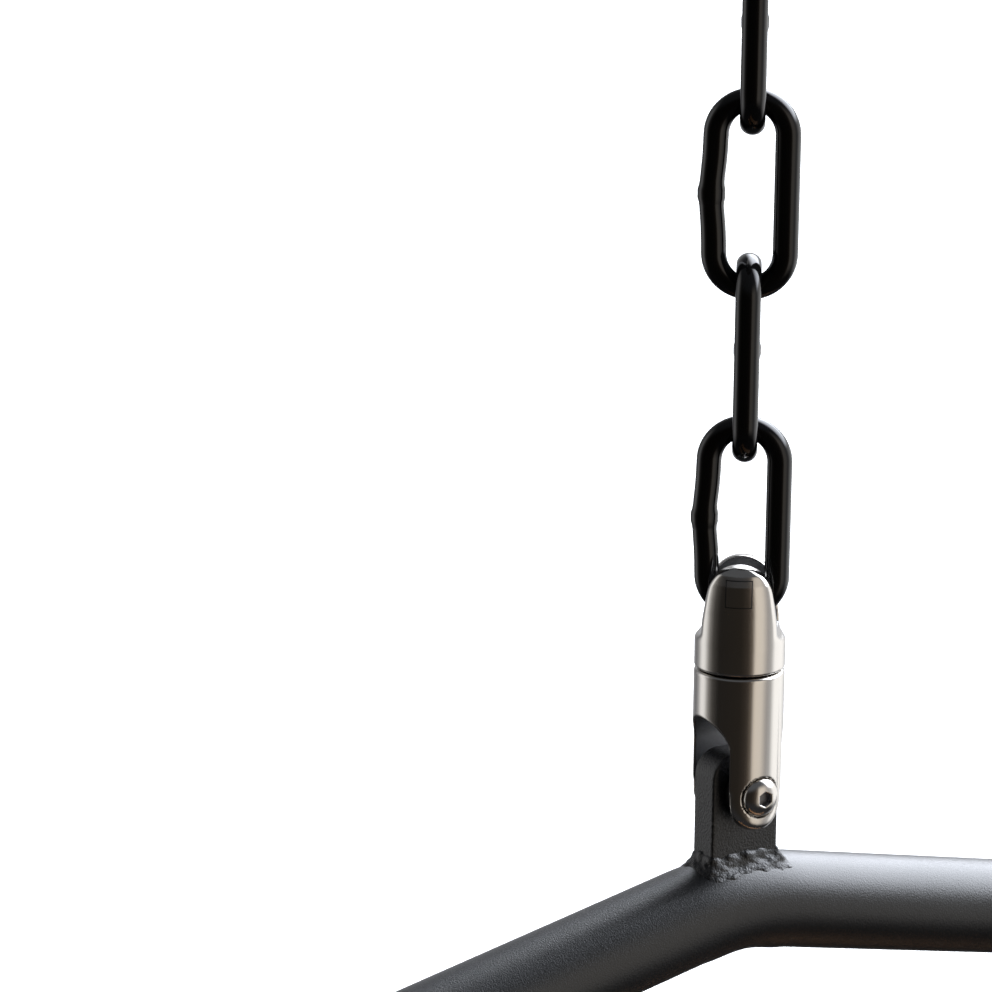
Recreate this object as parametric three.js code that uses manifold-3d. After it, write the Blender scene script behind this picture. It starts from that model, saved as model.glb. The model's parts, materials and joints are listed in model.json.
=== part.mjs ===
// Two-seat porch swing that hangs from one point.
//
// From the top down: a round ceiling plate with a welded eye, a short long-link chain, a stainless
// swivel (an upper yoke that turns on a lower fork), a lug welded on the bend of a steel tube hoop,
// and a slatted wooden bench that stands inside the hoop.
//
// Units are millimetres, +Z is up, +X runs along the bench and the sitter faces -Y. The origin is the
// centre of the ceiling plate's top face, so the whole swing hangs below it. Heights named "level"
// are measured from the clevis screw's axis, which lies HANG_DROP below the origin.

import * as THREE from "three";
import { mergeVertices } from "three/addons/utils/BufferGeometryUtils.js";
import Module from "manifold-3d";

// ---------------------------------------------------------------- driving dimensions

const GAP = 0.3; // clearance between touching pieces
const HANG_DROP = 350; // ceiling face down to the clevis screw's axis
const ARC_STEPS = 8; // segments of a link's round end
const OUTLINE_STEPS = 6; // curveSegments of an extruded outline, two segments of an arc each
const TURN_SIDES = 28; // facets round a turned piece

// Ceiling plate and eye
const PLATE_RADIUS = 55;
const PLATE_THICKNESS = 6;
const PLATE_HOLES = 4;
const PLATE_HOLE_RADIUS = 4.5;
const PLATE_HOLE_CIRCLE = 40;
const EYE_BAR_RADIUS = 5;
const EYE_RADIUS = 15; // centre line of the bow

// Chain
const LINK_COUNT = 5;
const LINK_PITCH = 52;
const WIRE_RADIUS = 4;
const BEARING_HALF = 3.6; // half the wire's thickness where one link bears on the next
const BOW_RADIUS = 11.2; // centre line of a link's round end
const LINK_SIDES = 8;
const WELD_RADIUS = 4.9; // weld upset in the middle of one leg
const WELD_HALF = 2.8;
const LOWEST_BOW_LEVEL = 119.1; // top bow of the lowest link
const EDGE_LINK_TURN = 93; // degrees from one link's plane to the next

// Swivel
const SWIVEL_TURN = -37.9; // degrees from the hoop's plane to the yoke's cheeks
const SWIVEL_RADIUS = 14.6;
const SEAM_LEVEL = 40.4;
const SEAM_HALF = 0.3;
const YOKE_SLOT_HALF = 5;
const YOKE_SLOT_FLOOR = 54.5;
const YOKE_DOME_RADIUS = 10.6;
const YOKE_DOME_LEVEL = 65;
const YOKE_WAIST = 12.2; // half width of the cheeks above the shoulder
const YOKE_SHOULDER_LEVEL = 50;
const PIN_RADIUS = 4;
const PIN_HEAD = 8; // side of the square head
const PIN_HEAD_DEPTH = 3;
const SPINDLE_RADIUS = 4.7;
const SPINDLE_HEAD_RADIUS = 8.2;
const SPINDLE_HEAD_LEVELS = [25.6, 30.7];
const SPINDLE_TOP_LEVEL = 52;
const WASHER_RADIUS = 12;
const WASHER_THICKNESS = 1.2;

// Lower fork, clevis screw and spacers
const FORK_SLOT_HALF = 10;
const FORK_ARCH_LEVEL = 15; // springing of the slot's round top
const FORK_TOE_RADIUS = 11.5;
const SCREW_RADIUS = 4;
const SCREW_HEAD_RADIUS = 6.4;
const SCREW_HEAD_HEIGHT = 3.6;
const SCREW_SEAT_DEPTH = 1.8;
const SCREW_SOCKET = 5; // across flats
const SCREW_SOCKET_DEPTH = 2.4;
const SPACER_RADIUS = 8.6;

// Lug and its weld
const LUG_HALF_WIDTH = 12.7;
const LUG_HALF_THICKNESS = 5.5;
const LUG_TOP_LEVEL = 12.7;
const LUG_CORNER = 8;
const WELD_LEG = 5;
const WELD_TOP_LEVEL = -18;

// Hoop
const TUBE_RADIUS = 15.9;
const TUBE_WALL = 2;
const TUBE_SIDES = 16;
const APEX_LEVEL = -37.9; // crossing of the two arms' centre lines
const ARM_SLOPE = 12.1; // degrees below level
const APEX_BEND = 95;
const SHOULDER_BEND = 130;
const FOOT_BEND = 60;
const BEND_STEP = 13; // degrees of bend in one segment
const UPRIGHT_X = 620;
const TOP_JOINT_LEVEL = -330;
const LOW_JOINT_LEVEL = -1170;
const BOTTOM_TUBE_LEVEL = -1312;
const SPIGOT_LENGTH = 110;
const SPIGOT_WALL = 2.5;
const SPIGOT_SCREW_RADIUS = 3;
const SPIGOT_SCREW_OFFSET = 30; // below each joint

// Bench
const SEAT_TILT = 4; // degrees, front edge higher
const BACK_RECLINE = 15; // degrees from upright
const CROOK_Y = 115.2; // crossing of the seat line and the back line; balances the bench on the hoop
const SEAT_BAR_LEVEL = -1276; // middle of the bearers, straight under the clevis screw
const CROOK_BEND = 50;
const SEAT_LINE = 455;
const BACK_LINE = 470;
const BEARER_WIDTH = 40;
const BEARER_THICKNESS = 8;
const BEARER_X = 555;
const SLAT_HALF_LENGTH = 573;
const SLAT_WIDTH = 70;
const SLAT_THICKNESS = 20;
const SLAT_PITCH = 82;
const SLAT_EDGE = 4;
const SEAT_SLATS = 5;
const BACK_SLATS = 5;
const FIRST_SEAT_SLAT = 31; // from the front end of the seat line
const FIRST_BACK_SLAT = 90; // from the crook, up the back line
const ARM_LEVEL = -1048;
const ARM_RAIL_DEPTH = 30;
const ARM_RAIL_THICKNESS = 6;
const ARM_RAIL_BEND = 55;
const ARM_REACH = 430; // crook forward to the arm's front leg
const ARMREST_SIZE = [60, 505, 22];
const ARMREST_X = 570;
const ARMREST_REACH = 465; // crook forward to the armrest's front end
const ARM_BOLT_RADIUS = 5;
const ARM_BUSH_RADIUS = 9;
const ARM_HEX = 17; // across flats
const ARM_HEAD_HEIGHT = 6;
const ARM_NUT_HEIGHT = 8;
const SADDLE_SIZE = [24, 50, 24];
const SADDLE_X = 547; // the outer saddles end before the bottom tube bends

// ---------------------------------------------------------------- derived places

const rad = THREE.MathUtils.degToRad;
const level = (height) => height - HANG_DROP;
const bowContact = 2 * BEARING_HALF + GAP;
const linkLength = LINK_PITCH + bowContact; // between the centre lines of a link's two bows
const eyeLevel = LOWEST_BOW_LEVEL + (LINK_COUNT - 1) * LINK_PITCH - BEARING_HALF - GAP - EYE_BAR_RADIUS;
const pinLevel = LOWEST_BOW_LEVEL - linkLength + BEARING_HALF + GAP + PIN_RADIUS;
const forkTop = SEAM_LEVEL - SEAM_HALF;
const yokeBottom = SEAM_LEVEL + SEAM_HALF;
const shoulderLevel = APEX_LEVEL - UPRIGHT_X * Math.tan(rad(ARM_SLOPE));
const seatForward = new THREE.Vector2(-Math.cos(rad(SEAT_TILT)), Math.sin(rad(SEAT_TILT)));
const backUpward = new THREE.Vector2(Math.sin(rad(BACK_RECLINE)), Math.cos(rad(BACK_RECLINE)));
const crookLevel = SEAT_BAR_LEVEL - CROOK_Y * Math.tan(rad(SEAT_TILT));
const crook = new THREE.Vector2(CROOK_Y, level(crookLevel));
const railInnerX = BEARER_X + BEARER_WIDTH / 2 + GAP;
const railOuterX = railInnerX + ARM_RAIL_THICKNESS;

const COATING = { color: 0x17181a, roughness: 0.55, metalness: 0.2 };
const CHAIN_COATING = { color: 0x0b0b0c, roughness: 0.22, metalness: 0.3 };
const STAINLESS = { color: 0xb9b3aa, roughness: 0.3, metalness: 1 };
const ACETAL = { color: 0x141414, roughness: 0.6, metalness: 0 };
const TEAK = { color: 0x9a6a3c, roughness: 0.6, metalness: 0 };

// ---------------------------------------------------------------- solids and booleans

const wasm = await Module();
wasm.setup();

function solid(geometry) {
  const bare = geometry.clone();
  bare.deleteAttribute("normal");
  bare.deleteAttribute("uv");
  const merged = mergeVertices(bare, 1e-4);
  return new wasm.Manifold(new wasm.Mesh({
    numProp: 3,
    vertProperties: new Float32Array(merged.attributes.position.array),
    triVerts: new Uint32Array(merged.index.array),
  }));
}

function geometryOf(manifold) {
  const mesh = manifold.getMesh();
  const geometry = new THREE.BufferGeometry();
  geometry.setAttribute("position", new THREE.BufferAttribute(new Float32Array(mesh.vertProperties), 3));
  geometry.setIndex(new THREE.BufferAttribute(new Uint32Array(mesh.triVerts), 1));
  geometry.computeVertexNormals();
  return geometry;
}

function cut(body, ...tools) {
  return tools.reduce((left, tool) => left.subtract(tool), body);
}

// A piece turned about Z from [radius, level] points that start and end on the axis.
function turned(profile, sides = TURN_SIDES) {
  const points = profile.map(([radius, height]) => new THREE.Vector2(radius, height));
  return new THREE.LatheGeometry(points, sides).rotateX(Math.PI / 2);
}

// A ring turned about Z, with a square section.
function ring(inner, outer, low, high, sides = TURN_SIDES) {
  return turned([[inner, low], [outer, low], [outer, high], [inner, high], [inner, low]], sides);
}

function rodZ(radius, low, high, sides = TURN_SIDES) {
  return turned([[0, low], [radius, low], [radius, high], [0, high]], sides);
}

function rodY(radius, near, far, sides = TURN_SIDES) {
  return rodZ(radius, near, far, sides).rotateX(-Math.PI / 2);
}

function rodX(radius, near, far, sides = TURN_SIDES) {
  return rodZ(radius, near, far, sides).rotateY(Math.PI / 2);
}

function boxBetween(low, high) {
  const size = high.map((value, axis) => value - low[axis]);
  const box = new THREE.BoxGeometry(...size);
  return box.translate(...low.map((value, axis) => value + size[axis] / 2));
}

// An outline drawn in X and Z, with its thickness centred on Y.
function slabXZ(shape, thickness) {
  const slab = new THREE.ExtrudeGeometry(shape, {
    depth: thickness,
    bevelEnabled: false,
    curveSegments: OUTLINE_STEPS,
  });
  return slab.translate(0, 0, -thickness / 2).rotateX(Math.PI / 2);
}

// An outline drawn in Y and Z, with its thickness centred on X.
function slabYZ(shape, thickness) {
  const slab = new THREE.ExtrudeGeometry(shape, {
    depth: thickness,
    bevelEnabled: false,
    curveSegments: OUTLINE_STEPS,
  });
  const outlineToYZ = new THREE.Matrix4().makeBasis(
    new THREE.Vector3(0, 1, 0),
    new THREE.Vector3(0, 0, 1),
    new THREE.Vector3(1, 0, 0),
  );
  return slab.translate(0, 0, -thickness / 2).applyMatrix4(outlineToYZ);
}

function roundedRectangle(halfWidth, halfHeight, corner) {
  const shape = new THREE.Shape();
  shape.absarc(halfWidth - corner, halfHeight - corner, corner, 0, Math.PI / 2);
  shape.absarc(-halfWidth + corner, halfHeight - corner, corner, Math.PI / 2, Math.PI);
  shape.absarc(-halfWidth + corner, -halfHeight + corner, corner, Math.PI, 1.5 * Math.PI);
  shape.absarc(halfWidth - corner, -halfHeight + corner, corner, 1.5 * Math.PI, 2 * Math.PI);
  return shape;
}

// A centre line through corners that are rounded by arcs. Its stations lie only where it bends.
class BentLine extends THREE.Curve {
  constructor(corners, radii) {
    super();
    const heading = (index) => corners[index + 1].clone().sub(corners[index]).normalize();
    this.stations = [{ point: corners[0], tangent: heading(0) }];
    for (let i = 1; i < corners.length - 1; i += 1) {
      const before = heading(i - 1);
      const angle = before.angleTo(heading(i));
      const axis = before.clone().cross(heading(i)).normalize();
      const inward = axis.clone().cross(before);
      const radius = radii[i - 1];
      const start = corners[i].clone().addScaledVector(before, -radius * Math.tan(angle / 2));
      const centre = start.addScaledVector(inward, radius);
      const steps = Math.max(2, Math.ceil(angle / rad(BEND_STEP)));
      for (let k = 0; k <= steps; k += 1) {
        const turn = (angle * k) / steps;
        const spoke = inward.clone().applyAxisAngle(axis, turn);
        this.stations.push({
          point: centre.clone().addScaledVector(spoke, -radius),
          tangent: before.clone().applyAxisAngle(axis, turn),
        });
      }
    }
    this.stations.push({ point: corners.at(-1), tangent: heading(corners.length - 2) });
  }

  get steps() {
    return this.stations.length - 1;
  }

  getUtoTmapping(u) {
    return u;
  }

  getPoint(t) {
    const place = t * this.steps;
    const index = Math.min(Math.floor(place), this.steps - 1);
    return this.stations[index].point.clone().lerp(this.stations[index + 1].point, place - index);
  }

  getTangent(t) {
    return this.stations[Math.round(t * this.steps)].tangent.clone();
  }
}

// A round bar or, with an inner radius, an open-ended tube along a bent line.
function pipe(line, outer, inner = 0, sides = TUBE_SIDES) {
  const section = new THREE.Shape().absarc(0, 0, outer, 0, 2 * Math.PI);
  if (inner > 0) {
    section.holes.push(new THREE.Path().absarc(0, 0, inner, 0, 2 * Math.PI));
  }
  return new THREE.ExtrudeGeometry(section, {
    steps: line.steps,
    curveSegments: sides / 2,
    extrudePath: line,
  });
}

// A closed loop of wire: the rings of a torus, moved one by one to the given stations.
function wireLoop(stations, sides) {
  const loop = new THREE.TorusGeometry(1, 0.5, sides, stations.length);
  const position = loop.attributes.position;
  const perRow = stations.length + 1;
  for (let k = 0; k < position.count; k += 1) {
    const { centre, outward, across, thick } = stations[(k % perRow) % stations.length];
    const turn = (2 * Math.PI * Math.floor(k / perRow)) / sides;
    const reach = across * Math.cos(turn);
    const x = centre[0] + outward[0] * reach;
    const z = centre[1] + outward[1] * reach;
    position.setXYZ(k, x, -thick * Math.sin(turn), z);
  }
  return loop;
}

// ---------------------------------------------------------------- scene graph

const swing = new THREE.Group();
const hangFrame = new THREE.Group();
hangFrame.position.z = -HANG_DROP;
const swivelFrame = new THREE.Group();
swivelFrame.rotation.z = rad(SWIVEL_TURN);
hangFrame.add(swivelFrame);
swing.add(hangFrame);

function place(group, name, geometry, finish) {
  const mesh = new THREE.Mesh(geometry, new THREE.MeshStandardMaterial(finish));
  mesh.name = name;
  group.add(mesh);
  return mesh;
}

// ---------------------------------------------------------------- ceiling plate and eye

function ceilingPlate() {
  let plate = solid(rodZ(PLATE_RADIUS, HANG_DROP - PLATE_THICKNESS, HANG_DROP, 40));
  for (let i = 0; i < PLATE_HOLES; i += 1) {
    const angle = (2 * Math.PI * (i + 0.5)) / PLATE_HOLES;
    const hole = rodZ(PLATE_HOLE_RADIUS, HANG_DROP - 2 * PLATE_THICKNESS, HANG_DROP + PLATE_THICKNESS, 16);
    hole.translate(PLATE_HOLE_CIRCLE * Math.cos(angle), PLATE_HOLE_CIRCLE * Math.sin(angle), 0);
    plate = cut(plate, solid(hole));
  }
  return geometryOf(plate);
}

// A U of round bar whose legs meet the plate's underside.
function ceilingEye() {
  const top = HANG_DROP - PLATE_THICKNESS - GAP;
  const corners = [
    new THREE.Vector3(0, -EYE_RADIUS, top),
    new THREE.Vector3(0, -EYE_RADIUS, eyeLevel),
    new THREE.Vector3(0, EYE_RADIUS, eyeLevel),
    new THREE.Vector3(0, EYE_RADIUS, top),
  ];
  const bow = EYE_RADIUS - 0.01;
  return pipe(new BentLine(corners, [bow, bow]), EYE_BAR_RADIUS, 0, 10);
}

place(swivelFrame, "ceiling_plate", ceilingPlate(), COATING);
place(swivelFrame, "ceiling_eye", ceilingEye(), COATING);

// ---------------------------------------------------------------- chain

// One long link: two round bows, flatter where the next link bears, and a weld on the left leg.
function chainLink() {
  const straightHalf = linkLength / 2 - BOW_RADIUS;
  const stations = [];
  const bow = (first, side) => {
    for (let k = 0; k <= ARC_STEPS; k += 1) {
      const angle = first + (Math.PI * k) / ARC_STEPS;
      const flat = (WIRE_RADIUS - BEARING_HALF) * Math.sin(angle) ** 2;
      const outward = [Math.cos(angle), Math.sin(angle)];
      stations.push({
        centre: [BOW_RADIUS * outward[0], side * straightHalf + BOW_RADIUS * outward[1]],
        outward,
        across: WIRE_RADIUS - flat,
        thick: WIRE_RADIUS,
      });
    }
  };
  bow(0, 1);
  for (const [height, radius] of [
    [WELD_HALF, WIRE_RADIUS],
    [WELD_HALF / 2, WELD_RADIUS],
    [-WELD_HALF / 2, WELD_RADIUS],
    [-WELD_HALF, WIRE_RADIUS],
  ]) {
    stations.push({ centre: [-BOW_RADIUS, height], outward: [-1, 0], across: radius, thick: radius });
  }
  bow(Math.PI, -1);
  return wireLoop(stations, LINK_SIDES);
}

for (let i = 0; i < LINK_COUNT; i += 1) {
  const fromBottom = LINK_COUNT - 1 - i;
  const link = place(swivelFrame, `chain_link_${i + 1}`, chainLink(), CHAIN_COATING);
  link.position.z = LOWEST_BOW_LEVEL + fromBottom * LINK_PITCH - linkLength / 2;
  link.rotation.z = fromBottom % 2 === 1 ? rad(EDGE_LINK_TURN) : 0;
}

// ---------------------------------------------------------------- swivel, upper yoke

// The turned outside of the yoke: a short cylinder that tapers to a blunt nose.
function yokeBlank() {
  return solid(turned([
    [0, yokeBottom],
    [SWIVEL_RADIUS - 1.6, yokeBottom],
    [SWIVEL_RADIUS - 0.5, yokeBottom + 0.5],
    [SWIVEL_RADIUS, yokeBottom + 1.8],
    [SWIVEL_RADIUS, 49],
    [14.4, 54],
    [14.1, 60],
    [13.5, 65],
    [12.5, 69.5],
    [11, 73],
    [8.6, 75.4],
    [0, 76],
  ]));
}

// The cheeks as seen along the pin: a round top, a slight taper and a hollow shoulder.
function yokeOutline() {
  const lean = Math.asin((YOKE_WAIST - YOKE_DOME_RADIUS) / (YOKE_DOME_LEVEL - YOKE_SHOULDER_LEVEL));
  const shape = new THREE.Shape();
  shape.moveTo(-SWIVEL_RADIUS - 1, yokeBottom - 1);
  shape.lineTo(SWIVEL_RADIUS + 1, yokeBottom - 1);
  shape.lineTo(SWIVEL_RADIUS + 1, YOKE_SHOULDER_LEVEL - 1);
  shape.quadraticCurveTo(YOKE_WAIST + 0.3, YOKE_SHOULDER_LEVEL, YOKE_WAIST, YOKE_SHOULDER_LEVEL + 4);
  shape.absarc(0, YOKE_DOME_LEVEL, YOKE_DOME_RADIUS, lean, Math.PI - lean);
  shape.lineTo(-YOKE_WAIST, YOKE_SHOULDER_LEVEL + 4);
  shape.quadraticCurveTo(
    -YOKE_WAIST - 0.3, YOKE_SHOULDER_LEVEL,
    -SWIVEL_RADIUS - 1, YOKE_SHOULDER_LEVEL - 1,
  );
  return shape;
}

function upperYoke() {
  const cheeks = yokeBlank().intersect(solid(slabXZ(yokeOutline(), 4 * SWIVEL_RADIUS)));
  const reach = 2 * SWIVEL_RADIUS;
  const slot = boxBetween([-reach, -YOKE_SLOT_HALF, YOKE_SLOT_FLOOR], [reach, YOKE_SLOT_HALF, 90]);
  const pinHole = rodY(PIN_RADIUS + GAP, -reach, reach, 20).translate(0, 0, pinLevel);
  const headSide = PIN_HEAD / 2 + GAP;
  const headFloor = -SWIVEL_RADIUS + PIN_HEAD_DEPTH - GAP + 1;
  const headPocket = boxBetween(
    [-headSide, -reach, pinLevel - headSide],
    [headSide, headFloor + 2 * GAP, pinLevel + headSide],
  );
  const spindleHole = rodZ(SPINDLE_RADIUS + GAP, yokeBottom - 5, SPINDLE_TOP_LEVEL + GAP, 20);
  return geometryOf(cut(cheeks, ...[slot, pinHole, headPocket, spindleHole].map(solid)));
}

// The pin's square head is finished flush with the yoke's outside.
function upperPin() {
  const headFloor = -SWIVEL_RADIUS + PIN_HEAD_DEPTH + 1;
  const half = PIN_HEAD / 2;
  const head = boxBetween([-half, -SWIVEL_RADIUS, pinLevel - half], [half, headFloor, pinLevel + half]);
  const shank = rodY(PIN_RADIUS, headFloor - 1, SWIVEL_RADIUS, 20).translate(0, 0, pinLevel);
  return geometryOf(solid(head).add(solid(shank)).intersect(yokeBlank()));
}

function spindle() {
  const [headLow, headHigh] = SPINDLE_HEAD_LEVELS;
  return turned([
    [0, headLow],
    [SPINDLE_HEAD_RADIUS, headLow],
    [SPINDLE_HEAD_RADIUS, headHigh],
    [SPINDLE_RADIUS, headHigh],
    [SPINDLE_RADIUS, SPINDLE_TOP_LEVEL],
    [0, SPINDLE_TOP_LEVEL],
  ], 20);
}

place(swivelFrame, "swivel_upper_yoke", upperYoke(), STAINLESS);
place(swivelFrame, "swivel_upper_pin", upperPin(), STAINLESS);
place(swivelFrame, "swivel_spindle", spindle(), STAINLESS);
const washerTop = yokeBottom - GAP;
const washer = ring(SPINDLE_RADIUS + 2 * GAP, WASHER_RADIUS, washerTop - WASHER_THICKNESS, washerTop, 24);
place(swivelFrame, "swivel_thrust_washer", washer, ACETAL);

// ---------------------------------------------------------------- swivel, lower fork

function forkOutline() {
  const wide = SWIVEL_RADIUS + 1;
  const shape = new THREE.Shape();
  shape.moveTo(-wide, forkTop + 1);
  shape.lineTo(-wide, 0);
  shape.absarc(0, 0, FORK_TOE_RADIUS, Math.PI, 2 * Math.PI);
  shape.lineTo(wide, 0);
  shape.lineTo(wide, forkTop + 1);
  return shape;
}

// The slot for the lug, drawn in Y and Z: straight walls under a round arch.
function forkSlot() {
  const shape = new THREE.Shape();
  shape.moveTo(-FORK_SLOT_HALF, -2 * FORK_TOE_RADIUS);
  shape.lineTo(FORK_SLOT_HALF, -2 * FORK_TOE_RADIUS);
  shape.absarc(0, FORK_ARCH_LEVEL, FORK_SLOT_HALF, 0, Math.PI);
  return slabYZ(shape, 4 * SWIVEL_RADIUS);
}

function lowerFork() {
  const blank = solid(turned([
    [0, -SWIVEL_RADIUS],
    [SWIVEL_RADIUS, -SWIVEL_RADIUS],
    [SWIVEL_RADIUS, forkTop - 2],
    [SWIVEL_RADIUS - 0.6, forkTop - 0.6],
    [SWIVEL_RADIUS - 2, forkTop],
    [0, forkTop],
  ]));
  const body = blank.intersect(solid(slabXZ(forkOutline(), 4 * SWIVEL_RADIUS)));
  const reach = 2 * SWIVEL_RADIUS;
  const recess = rodZ(WASHER_RADIUS + GAP, washerTop - WASHER_THICKNESS - GAP, forkTop + 1, 24);
  const [, headHigh] = SPINDLE_HEAD_LEVELS;
  return geometryOf(cut(body, ...[
    forkSlot(),
    rodY(SCREW_RADIUS + GAP, -reach, reach, 20),
    rodY(SCREW_HEAD_RADIUS + GAP, -reach, -SWIVEL_RADIUS + SCREW_SEAT_DEPTH, 24),
    rodZ(SPINDLE_RADIUS + GAP, FORK_ARCH_LEVEL, forkTop + 1, 20),
    rodZ(SPINDLE_HEAD_RADIUS + GAP, FORK_ARCH_LEVEL, headHigh + GAP, 24),
    recess,
  ].map(solid)));
}

// A button-head screw with a hexagon socket, its head on the -Y side.
function clevisScrew() {
  const seat = -SWIVEL_RADIUS + SCREW_SEAT_DEPTH - GAP;
  const crown = seat - SCREW_HEAD_HEIGHT;
  const body = turned([
    [0, crown],
    [SCREW_SOCKET * 0.75, crown],
    [SCREW_HEAD_RADIUS * 0.82, crown + 1],
    [SCREW_HEAD_RADIUS, crown + 2.4],
    [SCREW_HEAD_RADIUS, seat],
    [SCREW_RADIUS, seat],
    [SCREW_RADIUS, SWIVEL_RADIUS - 1.5],
    [0, SWIVEL_RADIUS - 1.5],
  ], 24).rotateX(-Math.PI / 2);
  const socketRadius = SCREW_SOCKET / 2 / Math.cos(Math.PI / 6);
  const socket = rodY(socketRadius, crown - 1, crown + SCREW_SOCKET_DEPTH, 6);
  return geometryOf(cut(solid(body), solid(socket)));
}

place(hangFrame, "swivel_lower_fork", lowerFork(), STAINLESS);
place(hangFrame, "clevis_screw", clevisScrew(), STAINLESS);
for (const [name, side] of [["front", -1], ["rear", 1]]) {
  const near = LUG_HALF_THICKNESS + GAP;
  const far = FORK_SLOT_HALF - GAP;
  const spacer = ring(SCREW_RADIUS + GAP, SPACER_RADIUS, near, far, 24);
  spacer.rotateX(side * -Math.PI / 2);
  place(hangFrame, `clevis_spacer_${name}`, spacer, ACETAL);
}

// ---------------------------------------------------------------- hoop of steel tube

const hangerLine = new BentLine([
  new THREE.Vector3(-UPRIGHT_X, 0, TOP_JOINT_LEVEL),
  new THREE.Vector3(-UPRIGHT_X, 0, shoulderLevel),
  new THREE.Vector3(0, 0, APEX_LEVEL),
  new THREE.Vector3(UPRIGHT_X, 0, shoulderLevel),
  new THREE.Vector3(UPRIGHT_X, 0, TOP_JOINT_LEVEL),
], [SHOULDER_BEND, APEX_BEND, SHOULDER_BEND]);

const bottomLine = new BentLine([
  new THREE.Vector3(-UPRIGHT_X, 0, LOW_JOINT_LEVEL),
  new THREE.Vector3(-UPRIGHT_X, 0, BOTTOM_TUBE_LEVEL),
  new THREE.Vector3(UPRIGHT_X, 0, BOTTOM_TUBE_LEVEL),
  new THREE.Vector3(UPRIGHT_X, 0, LOW_JOINT_LEVEL),
], [FOOT_BEND, FOOT_BEND]);

const tubeBore = TUBE_RADIUS - TUBE_WALL;
const sides = [["left", -1], ["right", 1]];
const joints = [["upper", TOP_JOINT_LEVEL], ["lower", LOW_JOINT_LEVEL]];

function straightTube(x, low, high, outer, inner) {
  return ring(inner, outer, low, high, TUBE_SIDES).translate(x, 0, 0);
}

// Each spigot screw enters a tube from the sitter's side, a little below its joint.
const screwLevels = joints.map(([, height]) => height - SPIGOT_SCREW_OFFSET);

function spigotScrewHole(side, height) {
  const near = side * (UPRIGHT_X - TUBE_RADIUS - 5);
  const far = side * (UPRIGHT_X - SPIGOT_SCREW_RADIUS);
  const hole = rodX(SPIGOT_SCREW_RADIUS + GAP, Math.min(near, far), Math.max(near, far), 12);
  return solid(hole.translate(0, 0, height));
}

function upright(side) {
  const tube = straightTube(
    side * UPRIGHT_X, LOW_JOINT_LEVEL + GAP, TOP_JOINT_LEVEL - GAP, TUBE_RADIUS, tubeBore,
  );
  const boltHole = rodX(ARM_BOLT_RADIUS + GAP, -20, 20, 16).translate(side * UPRIGHT_X, 0, ARM_LEVEL);
  return geometryOf(cut(solid(tube), solid(boltHole), spigotScrewHole(side, screwLevels[0])));
}

function bottomTube() {
  const holes = sides.map(([, side]) => spigotScrewHole(side, screwLevels[1]));
  return geometryOf(cut(solid(pipe(bottomLine, TUBE_RADIUS, tubeBore)), ...holes));
}

function spigot(side, jointLevel) {
  const outer = tubeBore - GAP;
  const tube = straightTube(
    side * UPRIGHT_X,
    jointLevel - SPIGOT_LENGTH / 2,
    jointLevel + SPIGOT_LENGTH / 2,
    outer,
    outer - SPIGOT_WALL,
  );
  return geometryOf(cut(solid(tube), spigotScrewHole(side, jointLevel - SPIGOT_SCREW_OFFSET)));
}

// A small dome-headed screw that points outward from the sitter's side.
function spigotScrew() {
  const seat = -TUBE_RADIUS - GAP;
  return turned([
    [0, seat - 3],
    [3, seat - 2.7],
    [5, seat - 1.4],
    [5.6, seat],
    [SPIGOT_SCREW_RADIUS, seat],
    [SPIGOT_SCREW_RADIUS, seat + 8],
    [0, seat + 8],
  ], 14).rotateY(Math.PI / 2);
}

place(hangFrame, "hanger_tube", pipe(hangerLine, TUBE_RADIUS, tubeBore), COATING);
place(hangFrame, "bottom_tube", bottomTube(), COATING);
for (const [name, side] of sides) {
  place(hangFrame, `upright_${name}`, upright(side), COATING);
  joints.forEach(([joint, height], index) => {
    place(hangFrame, `spigot_${joint}_${name}`, spigot(side, height), STAINLESS);
    const screw = place(hangFrame, `spigot_screw_${joint}_${name}`, spigotScrew(), STAINLESS);
    screw.position.set(side * UPRIGHT_X, 0, screwLevels[index]);
    screw.rotation.z = side < 0 ? Math.PI : 0;
  });
}

// ---------------------------------------------------------------- lug and weld

const tubeEnvelope = solid(pipe(hangerLine, TUBE_RADIUS + GAP));

function lug() {
  const shape = new THREE.Shape();
  const inset = LUG_HALF_WIDTH - LUG_CORNER;
  shape.moveTo(-LUG_HALF_WIDTH, APEX_LEVEL);
  shape.lineTo(LUG_HALF_WIDTH, APEX_LEVEL);
  shape.absarc(inset, LUG_TOP_LEVEL - LUG_CORNER, LUG_CORNER, 0, Math.PI / 2);
  shape.absarc(-inset, LUG_TOP_LEVEL - LUG_CORNER, LUG_CORNER, Math.PI / 2, Math.PI);
  const plate = solid(slabXZ(shape, 2 * LUG_HALF_THICKNESS));
  const hole = solid(rodY(SCREW_RADIUS + GAP, -20, 20, 20));
  return geometryOf(cut(plate, hole, tubeEnvelope));
}

// A fillet of weld metal round the foot of the lug.
function lugWeld() {
  const low = APEX_LEVEL;
  const bead = new THREE.ExtrudeGeometry(
    roundedRectangle(LUG_HALF_WIDTH + 1, LUG_HALF_THICKNESS + 1, 2),
    {
      depth: WELD_TOP_LEVEL - low - WELD_LEG,
      bevelThickness: WELD_LEG,
      bevelSize: WELD_LEG,
      bevelSegments: 2,
      curveSegments: 2,
    },
  ).translate(0, 0, low);
  const lugRoom = boxBetween(
    [-LUG_HALF_WIDTH - GAP, -LUG_HALF_THICKNESS - GAP, low - 20],
    [LUG_HALF_WIDTH + GAP, LUG_HALF_THICKNESS + GAP, 0],
  );
  const below = boxBetween([-40, -40, low - 20], [40, 40, APEX_LEVEL + 6]);
  return geometryOf(cut(solid(bead), solid(lugRoom), tubeEnvelope, solid(below)));
}

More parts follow.
